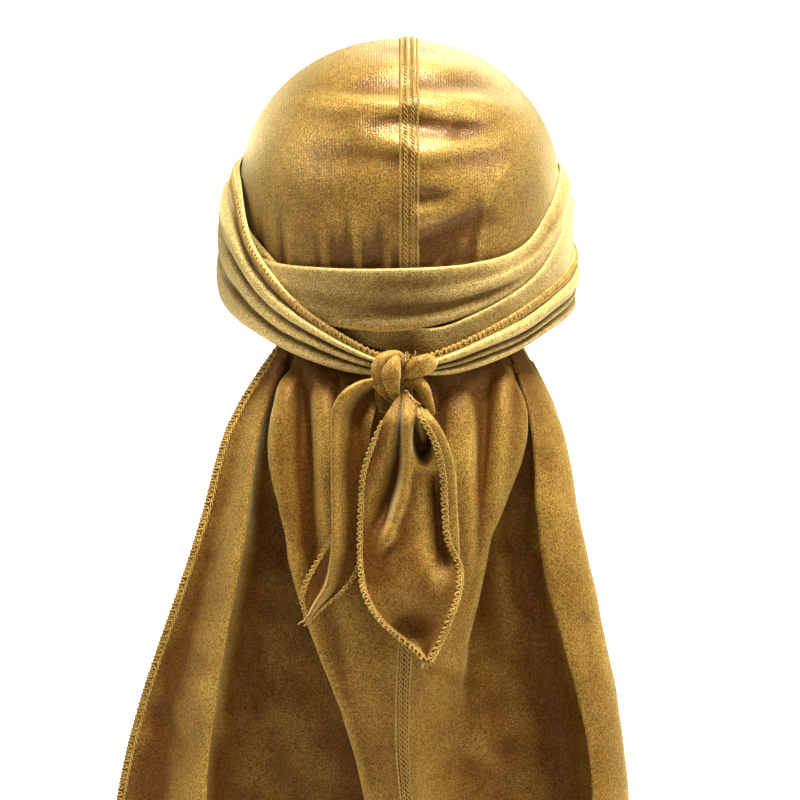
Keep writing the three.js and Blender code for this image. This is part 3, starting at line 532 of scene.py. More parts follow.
def arches(share, valleys, heights):
    """Rounded folds: between two valleys the height is h (1 - q^2)^0.5, q from -1 to 1."""
    total = 0.0
    for low, high, tall in zip(valleys, valleys[1:], heights):
        q = np.clip((share - (low + high) / 2) / ((high - low) / 2), -1, 1)
        total = total + tall * (1 - q * q) ** 0.5
    return total


def strap_point(table, folds, turn, share, lift):
    """A point of a strap: its height falls from its top edge to its low edge with share, and it
    rides off the hollow by its layer, folds, flare at the side and lean of the top edge."""
    way = 1 if table[-1, 0] > table[0, 0] else -1
    turn, share = np.broadcast_arrays(np.asarray(turn, float), np.asarray(share, float))
    read = curve(way * table[:, 0], table[:, 1:], way * turn)
    top, low, layer, lean, flare = np.moveaxis(read, -1, 0)
    z = -STRAP_REACH * mix(top, low, share)
    on = smooth(way * turn, *folds["on"])
    bend = 0.03 * np.sin(way * turn / 13) + 0.02 * np.sin(way * turn / 5.3 + 1)
    bent = np.clip(share + bend * np.sin(np.pi * share), 0, 1)
    folded = arches(bent, folds["valleys"], folds["heights"])
    soft = 0.9 * arches(share, (0.0, 1.0), (1.0,)) + 0.3 * ripples(on_hollow(turn, z, 0), 30, 5)
    if way < 0:
        soft = soft + sum(
            high * bell(turn, at_turn, turns) * bell(share, at_share, shares)
            for at_turn, at_share, turns, shares, high in WRAP_WAVES)
    raised = mix(soft, folded, on) + STRAP_FLARE * flare * share**2
    raised = raised - STRAP_LEAN * lean * bell(share, 0, 0.2)
    return on_hollow(turn, z, STRAP_LIFT + STRAP_PITCH * layer + lift + raised)


def strap_turns(table, count):
    """Turns at even lengths along the strap's middle."""
    fine = np.linspace(table[0, 0], table[-1, 0], 2000)
    far = lengths_along(strap_point(table, LEFT_FOLDS, fine, 0.5, 0))
    return np.interp(np.linspace(0, far[-1], count), far, fine)


def strap_grids(table, folds, count=350, columns=42):
    """The outer and inner faces of a strap. Its edges are rounded: within a thickness of an edge
    the outer face drops by three quarters of the thickness on a quarter circle."""
    turn = strap_turns(table, count)[:, None]
    share = np.linspace(0, 1, columns)
    margin = 0.12  # of the half circle that crowds the columns towards the edges
    share = np.cos(np.pi * (margin + (1 - 2 * margin) * share)) / math.cos(margin * math.pi)
    share = 0.5 - 0.5 * share
    inner = strap_point(table, folds, turn, share, 0.0)
    width = np.linalg.norm(inner[:, -1] - inner[:, 0], axis=1)[:, None]
    edge = np.clip(np.minimum(share, 1 - share) * width / STRAP_THICK, 0, 1)
    round_off = STRAP_THICK * (1 - np.sqrt(1 - (1 - edge) ** 2)) * 0.75
    outer = strap_point(table, folds, turn, share, STRAP_THICK - round_off)
    return outer, inner


def strap_lowest(azimuth):
    """The lowest height that the straps reach at an azimuth at the back."""
    left = curve(LEFT_STRAP[:, 0], LEFT_STRAP[:, 2], azimuth + 360)
    right = curve(-RIGHT_STRAP[:, 0], RIGHT_STRAP[:, 2], -(azimuth - 360))
    both = np.minimum(left, right)
    low = np.maximum(np.where(azimuth < -4, left, 0), np.where(azimuth > 6, right, 0))
    return -STRAP_REACH * np.maximum(low, both)


# ---------------------------------------------------------------- cape

# hold on the crown's edge, then x at the four levels, then out at the four levels
CAPE_FOLDS = np.array([
    (-1, -1.0, -1.0, -1.0, -1.0, -0.06, 0.2, 0.17, 0.17),
    (-0.95, -0.92, -0.89, -0.86, -0.84, 0.0, 0.26, 0.22, 0.2),
    (-0.9, -0.84, -0.765, -0.7, -0.645, 0.16, 0.6, 0.68, 0.74),
    (-0.87, -0.82, -0.77, -0.715, -0.67, 0.1, 0.34, 0.4, 0.42),
    (-0.84, -0.8, -0.71, -0.64, -0.58, 0.03, 0.04, 0.06, 0.06),
    (-0.81, -0.785, -0.58, -0.42, -0.3, 0.02, -0.02, -0.04, -0.04),
    (-0.78, -0.77, -0.44, -0.15, -0.04, 0.08, 0.06, 0.06, 0.06),
    (-0.74, -0.775, -0.46, -0.11, 0.0, 0.24, 0.38, 0.4, 0.42),
    (-0.67, -0.73, -0.53, -0.155, -0.02, 0.42, 0.64, 0.68, 0.68),
    (-0.55, -0.57, -0.43, -0.1, 0.02, 0.34, 0.62, 0.8, 0.82),
    (-0.42, -0.42, -0.28, -0.05, 0.05, 0.5, 0.76, 0.88, 0.92),
    (-0.2, -0.2, -0.12, -0.02, 0.075, 0.4, 0.8, 0.94, 0.98),
    (0.04, 0.04, 0.04, 0.01, 0.1, 0.42, 0.88, 0.98, 1.0),
    (0.27, 0.29, 0.17, 0.05, 0.14, 0.5, 0.84, 0.86, 0.88),
    (0.44, 0.46, 0.28, 0.085, 0.18, 0.38, 0.74, 0.72, 0.7),
    (0.6, 0.62, 0.37, 0.13, 0.24, 0.38, 0.66, 0.56, 0.5),
    (0.72, 0.755, 0.42, 0.19, 0.3, 0.26, 0.54, 0.4, 0.34),
    (0.77, 0.77, 0.375, 0.28, 0.38, 0.14, 0.28, 0.24, 0.2),
    (0.8, 0.775, 0.46, 0.42, 0.46, 0.1, 0.08, 0.1, 0.12),
    (0.83, 0.785, 0.63, 0.6, 0.56, 0.1, 0.04, 0.04, 0.08),
    (0.86, 0.8, 0.72, 0.725, 0.665, 0.12, 0.28, 0.34, 0.36),
    (0.89, 0.8, 0.685, 0.69, 0.63, 0.2, 0.54, 0.6, 0.64),
    (0.93, 0.88, 0.8, 0.76, 0.72, 0.08, 0.46, 0.5, 0.5),
    (0.97, 0.945, 0.885, 0.815, 0.765, -0.12, 0.2, 0.24, 0.26),
    (1, 0.93, 0.84, 0.77, 0.72, -0.34, -0.12, -0.04, 0.0),
])
SEAM_FOLD = 12  # the row above that the seam runs down
PER_FOLD = 8  # columns of the cape's grid from one fold line to the next
CAPE_UNDER = 0.045  # share of the way down that is held under the straps
CAPE_CREASES = (
    (283, 366, 300, 640, 8, -1.6),
    (301, 362, 315, 600, 7, 4.2),
    (320, 366, 332, 600, 8, -3.0),
    (339, 372, 342, 560, 7, 3.4),
    (438, 376, 442, 560, 7, 4.4),
    (462, 372, 472, 600, 9, -3.2),
    (488, 372, 474, 620, 8, 4.0),
    (505, 372, 494, 560, 7, -2.2),
    (160, 715, 200, 760, 14, 1.6),
    (205, 690, 240, 790, 12, -1.2),
    (250, 640, 262, 720, 14, 1.3),
    (430, 668, 480, 690, 10, 1.2),
    (470, 745, 530, 780, 12, -1.2),
    (540, 560, 556, 660, 9, 1.0),
    (500, 560, 512, 690, 10, -0.8),
    (440, 640, 470, 600, 9, -0.8),
    (186, 520, 176, 640, 9, 1.2),
    (232, 430, 214, 560, 8, -1.0),
    (585, 620, 600, 740, 9, 1.2),
    (330, 600, 352, 700, 9, 1.2),
    (300, 560, 330, 660, 8, -1.0),
    (448, 560, 452, 640, 8, 1.2),
)


def cape_lines(t):
    """Every fold line at the shares t of the way down: x, y and drop as (rows, folds) arrays."""
    x, y, drop = [], [], []
    level = CAPE_DROP + CAPE_LENGTH * LEVELS
    for row in CAPE_FOLDS:
        azimuth = np.array(CAPE_ANGLE * row[0])
        under = on_hollow(azimuth, strap_lowest(azimuth) + 2, CLOTH / 2)
        keys = np.concatenate([[-under[2]], level])
        xs = np.concatenate([[under[0]], HALF_WIDTHS * row[1:5]])
        ys = np.concatenate([[under[1]], -(CAPE_PLANE + PLEAT_DEPTH * row[5:9])])
        share = np.maximum((t - CAPE_UNDER) / (1 - CAPE_UNDER), 0)
        at = mix(-under[2], CAPE_DROP + CAPE_LENGTH, share)
        x.append(curve(keys, xs, at))
        y.append(curve(keys, ys, at))
        drop.append(at)
    return np.stack(x, 1), np.stack(y, 1), np.stack(drop, 1)


def cape_grid(rows=190):
    """The cape's middle surface: a smooth curve across the fold lines at each share of the way
    down, held on the hollow above the straps' low edge, with creases, hem waves and unevenness
    along its normal."""
    t = np.concatenate([np.linspace(0, CAPE_UNDER, 6)[:-1], np.linspace(CAPE_UNDER, 1, rows - 5)])
    x, y, drop = cape_lines(t)
    keys = np.arange(len(CAPE_FOLDS), dtype=float)
    at = np.linspace(0, keys[-1], (len(keys) - 1) * PER_FOLD + 1)
    grid = np.stack([curve(keys, lines.T, at).T for lines in (x, y, -drop)], -1)
    azimuth = CAPE_ANGLE * curve(keys, CAPE_FOLDS[:, 0], at)
    held = t < CAPE_UNDER
    level = mix(crown_edge(azimuth) + 0.4, grid[held, :, 2], (t[held] / CAPE_UNDER)[:, None])
    grid[held] = on_hollow(azimuth, level, CLOTH / 2)
    loose = smooth(t, 0.04, 0.1)[:, None]
    n = normals(grid)
    wave = creases(grid, CAPE_CREASES, 1.0)
    wave = wave + 1.1 * ripples(grid, 70, 11) + 0.5 * ripples(grid, 24, 12)
    return grid - n * (np.sign(-n[..., 1]) * loose * wave)[..., None]


def cape_panels(grid):
    """The two panels either side of the seam's fold, each cut back a quarter of a millimetre."""
    seam = SEAM_FOLD * PER_FOLD
    left, right = grid[:, : seam + 1].copy(), grid[:, seam:].copy()
    way = unit(grid[:, seam + 1] - grid[:, seam])
    left[:, -1] -= SEAM_GAP * way
    right[:, 0] += SEAM_GAP * way
    return left, right


# ---------------------------------------------------------------- knot and tails

# Each band of the knot: u and v in the reference view, out, half width and half thickness
KNOT_BANDS = {
    "knot_left_loop": [
        [(404, 358, 99, 2.2, 2.0), (395, 356, 104, 3.0, 2.6), (383, 361, 107.5, 3.8, 3.0),
         (378.5, 372, 109, 3.6, 3.0), (381, 384, 108, 3.6, 2.8), (389, 395, 106, 2.8, 2.2),
         (397, 401, 102, 1.8, 1.6)],
        [(398, 356, 106, 1.4, 1.4), (394, 364, 111, 3.4, 2.6), (391.5, 375, 113, 4.7, 3.0),
         (393, 388, 112, 3.4, 2.6), (397, 401, 107, 1.4, 1.4)],
        [(380, 384, 104, 2.0, 1.6), (380, 396, 106, 2.4, 1.8), (384, 413, 106, 2.2, 1.6)],
    ],
    "knot_right_loop": [
        [(434, 362, 98, 3.0, 2.4), (428.5, 364, 104, 4.8, 3.6), (420, 366, 107.5, 5.4, 4.4),
         (411, 371, 107, 4.4, 3.8), (403, 377, 102, 3.0, 2.6)],
    ],
    "knot_lower_loop": [
        [(400, 384, 101, 2.2, 2.0), (409, 380.5, 105, 2.9, 2.6), (418, 383, 107.5, 3.4, 2.8),
         (424.5, 391, 109, 3.2, 2.6), (428.5, 403, 110, 2.6, 2.0), (433, 416, 111, 1.8, 1.4)],
    ],
}
KNOT_FOLDS = {"knot_left_loop": 3, "knot_right_loop": 4, "knot_lower_loop": 3}


def band(stations, folds, twist=0.5, steps=44, sides=44):
    """A flattened tube through stations, with lengthwise folds: its ring radius is
    1 - 0.16 (1 - |cos(folds (angle + twist t) / 2)|^0.7), so valleys are sharp and folds round."""
    rows = np.array(stations, float)
    keys = np.linspace(0, 1, len(rows))
    t = np.linspace(0, 1, steps)
    u, v, out, half, thick = curve(keys, rows, t).T
    path = placed(u, v, out)
    tangent = unit(np.gradient(path, axis=0))
    across = unit(np.cross([0, -1, 0], tangent))
    normal = np.cross(tangent, across)
    turn = np.linspace(0, 2 * np.pi, sides, endpoint=False)
    angle = turn[None] + twist * t[:, None] * np.pi
    ridge = 1 - 0.16 * (1 - np.abs(np.cos(folds * angle / 2)) ** 0.7)
    size = np.sqrt(np.clip(1 - (2 * np.abs(t - 0.5)) ** 14, 0.002, 1))[:, None] * ridge
    ring = (
        across[:, None] * (half[:, None] * size * np.cos(turn))[..., None]
        + normal[:, None] * (thick[:, None] * size * np.sin(turn))[..., None]
    )
    points = (path[:, None] + ring).reshape(-1, 3)
    lengths = np.stack(np.broadcast_arrays(turn[None] * half[:, None], (t * 30)[:, None]), -1)
    return points, ring_quads(steps, sides), lengths.reshape(-1, 2)


# The leaf-shaped tail's outline: share of the way down, left edge and right edge in millimetres
LEAF_DOWN, LEAF_LEFT, LEAF_RIGHT = np.array([
    (0, 1.9, 2.7), (0.02, -0.5, 4.6), (0.09, -6.9, 13.4), (0.2, -13.8, 21.0), (0.3, -17.6, 23.9),
    (0.42, -18.9, 24.8), (0.55, -19.4, 25.8), (0.66, -19.0, 26.9), (0.74, -17.5, 26.2),
    (0.82, -12.4, 23.0), (0.91, -1.6, 18.6), (0.97, 8.4, 15.0), (1, 11.6, 13.0),
]).T
FLAP = 0.86  # share of the columns that lie before the folded-over right rim


def leaf_folded(down):
    """How far the right rim is folded over, from 0 to 1."""
    return smooth(down, 0.02, 0.1) * (1 - smooth(down, 0.52, 0.68))


def leaf_relief(x, down):
    """How far the leaf stands out: a deep groove left of a sharp middle ridge, a pocket with a tube
    of cloth in it, a dip along the folded rim, a bulge lower down and a scoop above the tip."""
    settle = smooth(down, 0, 0.1)
    centre = curve([0, 0.11, 0.33, 0.42, 0.55, 1], [1.2, 0.4, -1.4, -4.6, -8.6, -12], down)
    wide = curve([0, 0.1, 0.2, 0.32, 0.5, 1], [0.7, 1.4, 3.0, 5.8, 6.5, 6.0], down)
    offset = x - centre
    groove = np.where(offset < 0, bell(offset, 0, wide), bell(offset, 0, 0.26 * wide + 0.5))
    groove = mix(6.0, 11.0, smooth(down, 0.08, 0.3)) * groove * settle
    groove = groove * (1 - smooth(down, 0.38, 0.6))
    ridge_at = curve([0, 0.1, 0.2, 0.3, 0.42, 0.54, 1], [2.4, 2.8, 2.6, 2.0, -0.4, -6.6, -12], down)
    ridge = 2.8 * bell(x, ridge_at, 2.4) * settle * (1 - smooth(down, 0.5, 0.64))
    wide = mix(3.4, 6.4, smooth(down, 0.05, 0.22))
    spot_at = mix(9.4, 10.6, smooth(down, 0.05, 0.2))
    spot = np.sqrt(((x - spot_at) / wide) ** 2 + ((down - 0.15) / 0.122) ** 2)
    pocket = smooth(1.1 - spot, 0, 0.34)
    tube_at = mix(7.6, 11.0, smooth(down, 0.05, 0.2))
    pocket = 12.0 * pocket - 7.5 * pocket * bell(x, tube_at, 1.8) * (1 - smooth(down, 0.1, 0.235))
    rim = curve(LEAF_DOWN, LEAF_RIGHT, down)
    dip = 6.0 * bell(x, rim - 8.0, 4.4) * smooth(down, 0.26, 0.38) * (1 - smooth(down, 0.58, 0.74))
    belly = 3.4 * bell(x, 2, 14) * bell(down, 0.66, 0.2)
    bump = 2.2 * bell(x, 17.5, 4.4) * bell(down, 0.7, 0.045)
    bump = bump + 2.2 * bell(x, -5.0, 4.0) * bell(down, 0.53, 0.035)
    scoop = 8.0 * bell(x, 5.0, 12.0) * bell(down, 0.87, 0.085)
    left = curve(LEAF_DOWN, LEAF_LEFT, down)
    side = np.clip((x - left) / np.maximum(rim - left, 0.5), 0, 1)
    curl = smooth(down, 0.6, 0.9) * 3.5 * np.abs(2 * side - 1) ** 3
    flare = 2.6 * np.abs(2 * side - 1) ** 2 * smooth(down, 0.1, 0.4) * (1 - smooth(down, 0.6, 0.8))
    swing = 5.5 * smooth(down, 0.5, 0.88)
    return -groove + ridge - pocket - dip + belly + bump - scoop + curl - flare + swing


def leaf_grid(rows=160, columns=84):
    """The right tail: rows down its length, columns from its left edge to the fold of its right rim
    and back over it."""
    down = np.linspace(0, 1, rows)[:, None]
    a = np.linspace(0, 1, columns)[None]
    left, right = curve(LEAF_DOWN, LEAF_LEFT, down), curve(LEAF_DOWN, LEAF_RIGHT, down)
    folded = leaf_folded(down)
    w = np.clip((a - FLAP) / (1 - FLAP), 0, 1)
    x = mix(left, right, np.clip(a / FLAP, 0, 1))
    out = leaf_relief(x, down)
    bend = np.clip(w / 0.35, 0, 1) * np.pi
    reach = np.clip((w - 0.35) / 0.65, 0, 1)
    radius = mix(0.08, 1.3, folded)
    x = x + radius * np.sin(bend) * 0.9 - mix(0.3, 5.4, folded) * reach
    out = out + radius * (1 - np.cos(bend)) + 0.3 * folded * np.sin(np.pi * reach)
    settle = smooth(down, 0, 0.12)
    down = down + 0 * x
    out = TAIL_OUT - 8 * (1 - settle) + out + 0.3 * ripples(
        np.stack([x, out, -LEAF_LENGTH * down], -1), 14, 21)
    return np.stack([x, -out, -LEAF_TOP - LEAF_LENGTH * down], -1)


# down, then where the front edge, the fold and the back edge are seen
FOLD_ROWS = np.array([
    (0, 377, 392, 373, 379, 375, 384),
    (0.07, 376, 404, 359, 382.3, 362, 390),
    (0.15, 373, 419, 345, 390.5, 352, 402),
    (0.23, 370, 435, 336, 402, 345, 420),
    (0.34, 368, 456, 332, 422, 343, 445),
    (0.5, 366, 500, 332, 470, 343, 488),
    (0.64, 363, 542, 332.5, 522, 339, 524),
    (0.76, 357.5, 572, 332, 558, 319, 556),
    (0.87, 340, 594, 325.5, 587, 304, 584),
    (0.95, 320, 610, 315, 605, 301, 603),
    (1, 309, 621, 308, 618, 306, 617),
])
# across, share of the way from the fold to an edge, and how far out it stands
FOLD_ACROSS = np.array([
    (-1, 1, 111.6), (-0.72, 0.74, 111.9), (-0.46, 0.48, 113.6), (-0.26, 0.27, 116.8),
    (-0.12, 0.09, 119.6), (0, 0, 118.6), (0.12, 0.06, 115.6), (0.4, 0.4, 113.4), (1, 1, 112.0),
])


def fold_grid(rows=150, columns=72):
    """The left tail, folded in two along its left side: across runs from its front edge over the
    fold to its back edge."""
    down = np.linspace(0, 1, rows)
    across = np.linspace(-1, 1, columns)
    seen_at = curve(FOLD_ROWS[:, 0], FOLD_ROWS[:, 1:], down)[:, None]
    edge, fold, back = (seen_at[..., k : k + 2] for k in (0, 2, 4))
    share, out = curve(FOLD_ACROSS[:, 0], FOLD_ACROSS[:, 1:], across).T
    share = np.clip(share, 0, 1)[:, None]
    pixel = fold + share * (np.where(across[:, None] < 0, edge, back) - fold)
    down = down[:, None]
    out = out - 7.5 * (1 - smooth(down, 0.0, 0.2))
    out = out - 6.5 * bell(across, -0.5, 0.26) * bell(down, 0.19, 0.12)
    out = out + 1.2 * bell(across, -0.3, 0.2) * bell(down, 0.93, 0.05)
    out = out + 0.9 * bell(across, -0.85, 0.15) * smooth(down, 0.3, 0.5)
    return placed(pixel[..., 0], pixel[..., 1], out)


# ---------------------------------------------------------------- stitching


def track(path, across, out, step):
    """A path resampled every step millimetres, with its two side directions and the length
    so far."""
    far = lengths_along(path)
    at = np.linspace(0, far[-1], max(int(far[-1] / step), 4) + 1)
    path, across, out = (
        np.stack([np.interp(at, far, a[:, k]) for k in range(3)], 1) for a in (path, across, out))
    return path, unit(across), unit(out), at


def chain(line, width, pitch, lift, radius):
    """A chain of stitches: two threads that swap sides each stitch, offset by half the width times
    the sine of pi length / pitch, and pass over each other with its cosine."""
    path, across, out, at = line
    turn = np.pi * at / pitch
    return [
        tube(
            path
            + across * (side * width / 2 * np.sin(turn))[:, None]
            + out * (lift + side * 0.8 * radius * np.cos(turn))[:, None],
            out, radius,
        )
        for side in (-1, 1)
    ]


# An edging reaches its full width between these two lengths from its start.
GROWING = (-4, 14)


def overlock(line, width, pitch, thick, radius):
    """Threads wrapped over an edge: flattened helices of both hands, reaching the width inwards and
    standing half the thickness off each face. Their tension and pitch waver slowly."""
    path, inward, out, at = line
    made = []
    uneven = 1 + 0.13 * np.sin(0.83 * at + 1) * np.sin(0.31 * at)
    at = at + 0.5 * np.sin(0.47 * at)
    for hand, share, off, thread in ((1, 1.0, 0.8, 1.35), (-1, 0.85, 1.5, 0.75)):
        turn = hand * 2 * np.pi * at / pitch + 0.6 * hand
        reach = width * share * uneven * smooth(at, *GROWING) * (0.5 + 0.5 * np.cos(turn)) - 0.35
        high = (thick / 2 + radius * off) * np.sin(turn)
        made.append(
            tube(path + inward * reach[:, None] + out * high[:, None], out + 0.01, radius * thread))
    return made


def frayed(rng, count, low, high, out, lean, spread, radius):
    """Loose ends of thread from seen pixels low to high, leaning one way and curling."""
    t = np.linspace(0, 1, 12)[:, None]
    ends = []
    for _ in range(count):
        start = placed(rng.uniform(low[0], high[0]), rng.uniform(low[1], high[1]), out)
        way = np.array(lean) + rng.uniform(-1, 1, 3) * spread
        curl = rng.normal(size=3) * 0.5 * spread
        path = start + way * t + curl * np.sin(np.pi * t) * t
        ends.append(tube(path, np.array([0.3, 1, 0.2]) + 0 * path, radius))
    return ends


def seam_rows(top, beside, out):
    """The rows of stitches down a seam's tape, from the grid of its top face and the directions
    beside and out of it."""
    beside, out = (np.broadcast_to(way, top.shape) for way in (beside, out))
    rows = []
    for column, width in SEAM_ROWS:
        line = track(top[:, column], beside[:, column], out[:, column], SEAM_STEP)
        rows += chain(line, width, SEAM_PITCH, SEAM_LIFT, SEAM_THREAD)
    return rows


def stitch_mesh(name, parts, material, node=None):
    """One thread piece from several runs of stitches."""
    return fill_mesh(name, *joined(parts), node=node, slot="thread", material=material)


# ---------------------------------------------------------------- materials


def add_node(tree, kind, links=None, **values):
    """A node with some properties and inputs set. links is {input: socket}."""
    node = tree.nodes.new(kind)
    for key, value in values.items():
        if hasattr(node, key):
            setattr(node, key, value)
        else:
            node.inputs[key.replace("_", " ")].default_value = value
    for key, socket in (links or {}).items():
        tree.links.new(socket, node.inputs[key])
    return node


def math_node(tree, operation, a, b=0.5, clamp=False):
    """The output of a Math node on two sockets or numbers."""
    node = tree.nodes.new("ShaderNodeMath")
    node.operation, node.use_clamp = operation, clamp
    for slot, value in zip(node.inputs, (a, b)):
        if isinstance(value, (int, float)):
            slot.default_value = value
        else:
            tree.links.new(value, slot)
    return node.outputs[0]


def weighted(tree, *terms):
    """The sum of sockets times shares, from (socket, share) pairs."""
    total = None
    for socket, share in terms:
        part = socket if share == 1 else math_node(tree, "MULTIPLY", socket, share)
        total = part if total is None else math_node(tree, "ADD", total, part)
    return total


def new_group(name, inputs, outputs):
    """A shader node group with named float or vector sockets, and its input and output nodes."""
    group = bpy.data.node_groups.new(name, "ShaderNodeTree")
    for label, kind, default in inputs:
        socket = group.interface.new_socket(label, in_out="INPUT", socket_type=kind)
        if default is not None:
            socket.default_value = default
    for label, kind in outputs:
        group.interface.new_socket(label, in_out="OUTPUT", socket_type=kind)
    return group, group.nodes.new("NodeGroupInput"), group.nodes.new("NodeGroupOutput")


VALUE, VECTOR = "NodeSocketFloat", "NodeSocketVector"


def nap_group():
    """Velvet nap: fine sparkling grain, tufts a few millimetres wide and slow brushing marks."""
    if "Velvet Nap" in bpy.data.node_groups:
        return bpy.data.node_groups["Velvet Nap"]
    group, given, result = new_group(
        "Velvet Nap",
        (("Vector", VECTOR, None), ("Grain", VALUE, 1700.0), ("Tuft", VALUE, 320.0),
         ("Brush", VALUE, 34.0)),
        (("Shade", VALUE), ("Brushing", VALUE), ("Height", VALUE)),
    )

    def noise(scale, detail, rough):
        links = {"Vector": given.outputs["Vector"], "Scale": given.outputs[scale]}
        node = add_node(group, "ShaderNodeTexNoise", links, Detail=detail, Roughness=rough)
        return node.outputs["Fac"]

    def spread(value, low, high):
        node = add_node(
            group, "ShaderNodeMapRange", {"Value": value}, From_Min=low, From_Max=high)
        return node.outputs["Result"]

    grain, tuft, brush = noise("Grain", 1.0, 0.6), noise("Tuft", 3.0, 0.6), noise("Brush", 2.0, 0.5)
    shade = weighted(group, (spread(grain, 0.3, 0.7), 0.82), (spread(tuft, 0.3, 0.7), 0.18))
    group.links.new(shade, result.inputs["Shade"])
    group.links.new(spread(brush, 0.32, 0.68), result.inputs["Brushing"])
    group.links.new(weighted(group, (grain, 0.7), (tuft, 0.5)), result.inputs["Height"])
    return group


def knit_group():
    """The knit under the nap: fine ribs down the cloth, crossed by fainter slanting ones."""
    if "Knit Ribs" in bpy.data.node_groups:
        return bpy.data.node_groups["Knit Ribs"]
    group, given, result = new_group(
        "Knit Ribs", (("Vector", VECTOR, None), ("Ribs", VALUE, 8.0)),
        (("Height", VALUE), ("Line", VALUE)))
    part = add_node(group, "ShaderNodeSeparateXYZ", {"Vector": given.outputs["Vector"]})
    x, y = part.outputs["X"], part.outputs["Y"]

    def wave(value):
        ribs = math_node(group, "MULTIPLY", value, given.outputs["Ribs"])
        return math_node(group, "SINE", math_node(group, "MULTIPLY", ribs, 2 * math.pi))

    both = weighted(group, (wave(x), 0.3), (wave(weighted(group, (x, 1), (y, 1.3))), 0.2))
    group.links.new(both, result.inputs["Height"])
    group.links.new(math_node(group, "ADD", both, 0.5), result.inputs["Line"])
    return group


def principled(name):
    """A material of that name, its nodes cleared of all but its own shader."""
    material = bpy.data.materials.get(name) or bpy.data.materials.new(name)
    material.use_nodes = True
    tree = material.node_tree
    tree.nodes.clear()
    shader = tree.nodes.new("ShaderNodeBsdfPrincipled")
    output = tree.nodes.new("ShaderNodeOutputMaterial")
    tree.links.new(shader.outputs["BSDF"], output.inputs["Surface"])
    return material, tree, shader


def two_tone(tree, factor, deep, pale):
    """The colour between deep and pale by a factor."""
    blend = add_node(tree, "ShaderNodeMix", {"Factor": factor}, data_type="RGBA")
    for socket in blend.inputs:
        if socket.type == "RGBA":
            socket.default_value = (*deep, 1) if socket.name == "A" else (*pale, 1)
    return next(socket for socket in blend.outputs if socket.type == "RGBA")


def textured(tree, group, coordinates):
    """A group node reading the named output of the texture coordinates."""
    where = tree.nodes.new("ShaderNodeTexCoord").outputs[coordinates]
    node = add_node(tree, "ShaderNodeGroup", node_tree=group)
    tree.links.new(where, node.inputs["Vector"])
    return node


def finish_shader(tree, shader, colour, height, strength, distance, **sockets):
    """Link the colour and the bump, and set the shader's own sockets."""
    tree.links.new(colour, shader.inputs["Base Color"])
    bump = add_node(
        tree, "ShaderNodeBump", {"Height": height}, Strength=strength, Distance=distance)
    tree.links.new(bump.outputs["Normal"], shader.inputs["Normal"])
    for key, value in sockets.items():
        shader.inputs[key.replace("_", " ")].default_value = value


def velvet(name, deep, pale, sheen, sheen_weight, metal=0.15, knit=0.15, rough=0.5, hollow=0.35,
           turned=1.1, grain=1250.0, speck=0.9, lift=0.0, gloss=0.4):
    """Velvet: base colour between deep and pale by brushing, by the relief attribute (by the share
    hollow), which paints shade in hollows and a highlight on crests, and by how far the cloth is
    turned away from the view (by the share turned), which paints a pale sheen at grazing views; lift
    raises or lowers it all. It is made lighter and darker by the nap's grain (speck) and the knit's
    lines, with a rough satin gloss and the sheen of the standing pile."""
    material, tree, shader = principled(name)
    nap = textured(tree, nap_group(), "Object")
    nap.inputs["Grain"].default_value = grain
    ribs = textured(tree, knit_group(), "UV")
    # The relief attribute: painted shade in hollows, a painted highlight on crests.
    relief = add_node(tree, "ShaderNodeAttribute", attribute_name="relief").outputs["Fac"]
    # Painted sheen: the base colour turns paler as the cloth turns away from the view.
    facing = add_node(tree, "ShaderNodeLayerWeight", Blend=0.5).outputs["Facing"]
    away = math_node(tree, "POWER", facing, 1.3)
    shade = weighted(tree, (nap.outputs["Brushing"], 0.3), (relief, hollow), (away, turned))
    colour = two_tone(tree, math_node(tree, "ADD", shade, lift, True), deep, pale)
    sparkle = weighted(tree, (nap.outputs["Shade"], speck), (ribs.outputs["Line"], knit))
    sparkle = math_node(tree, "ADD", sparkle, 1 - 0.5 * speck - 0.5 * knit)
    sparkle = math_node(tree, "MAXIMUM", sparkle, 0.5)
    grained = add_node(tree, "ShaderNodeHueSaturation", {"Color": colour, "Value": sparkle})
    satin = add_node(
        tree, "ShaderNodeMapRange", {"Value": nap.outputs["Shade"]},
        To_Min=rough + 0.08, To_Max=rough - 0.08)
    tree.links.new(satin.outputs["Result"], shader.inputs["Roughness"])
    finish_shader(
        tree, shader, grained.outputs["Color"],
        weighted(tree, (nap.outputs["Height"], 1), (ribs.outputs["Height"], knit)), 0.7, 0.0004,
        Metallic=metal, Sheen_Weight=sheen_weight, Sheen_Roughness=0.36, Sheen_Tint=(*sheen, 1),
        Specular_Tint=(1.0, 0.88, 0.6, 1), Specular_IOR_Level=gloss)
    return material


def thread_material(name, deep, pale, sheen):
    """Sewing thread: the nap's fine grain in colour and bump, and a little sheen."""
    material, tree, shader = principled(name)
    nap = textured(tree, nap_group(), "Object")
    finish_shader(
        tree, shader, two_tone(tree, nap.outputs["Shade"], deep, pale), nap.outputs["Height"],
        0.5, 0.0003,
        Roughness=0.5, Sheen_Weight=0.15, Sheen_Roughness=0.4, Sheen_Tint=(*sheen, 1))
    return material


# ---------------------------------------------------------------- settings


def colour_setting(name, description, default):
    """A colour setting."""
    return FloatVectorProperty(
        name=name, description=description, default=default, subtype="COLOR", size=3, min=0, max=1)


def length_setting(name, description, default, low, high):
    """A length setting in metres."""
    return FloatProperty(
        name=name, description=description, default=default, min=low, max=high, unit="LENGTH")


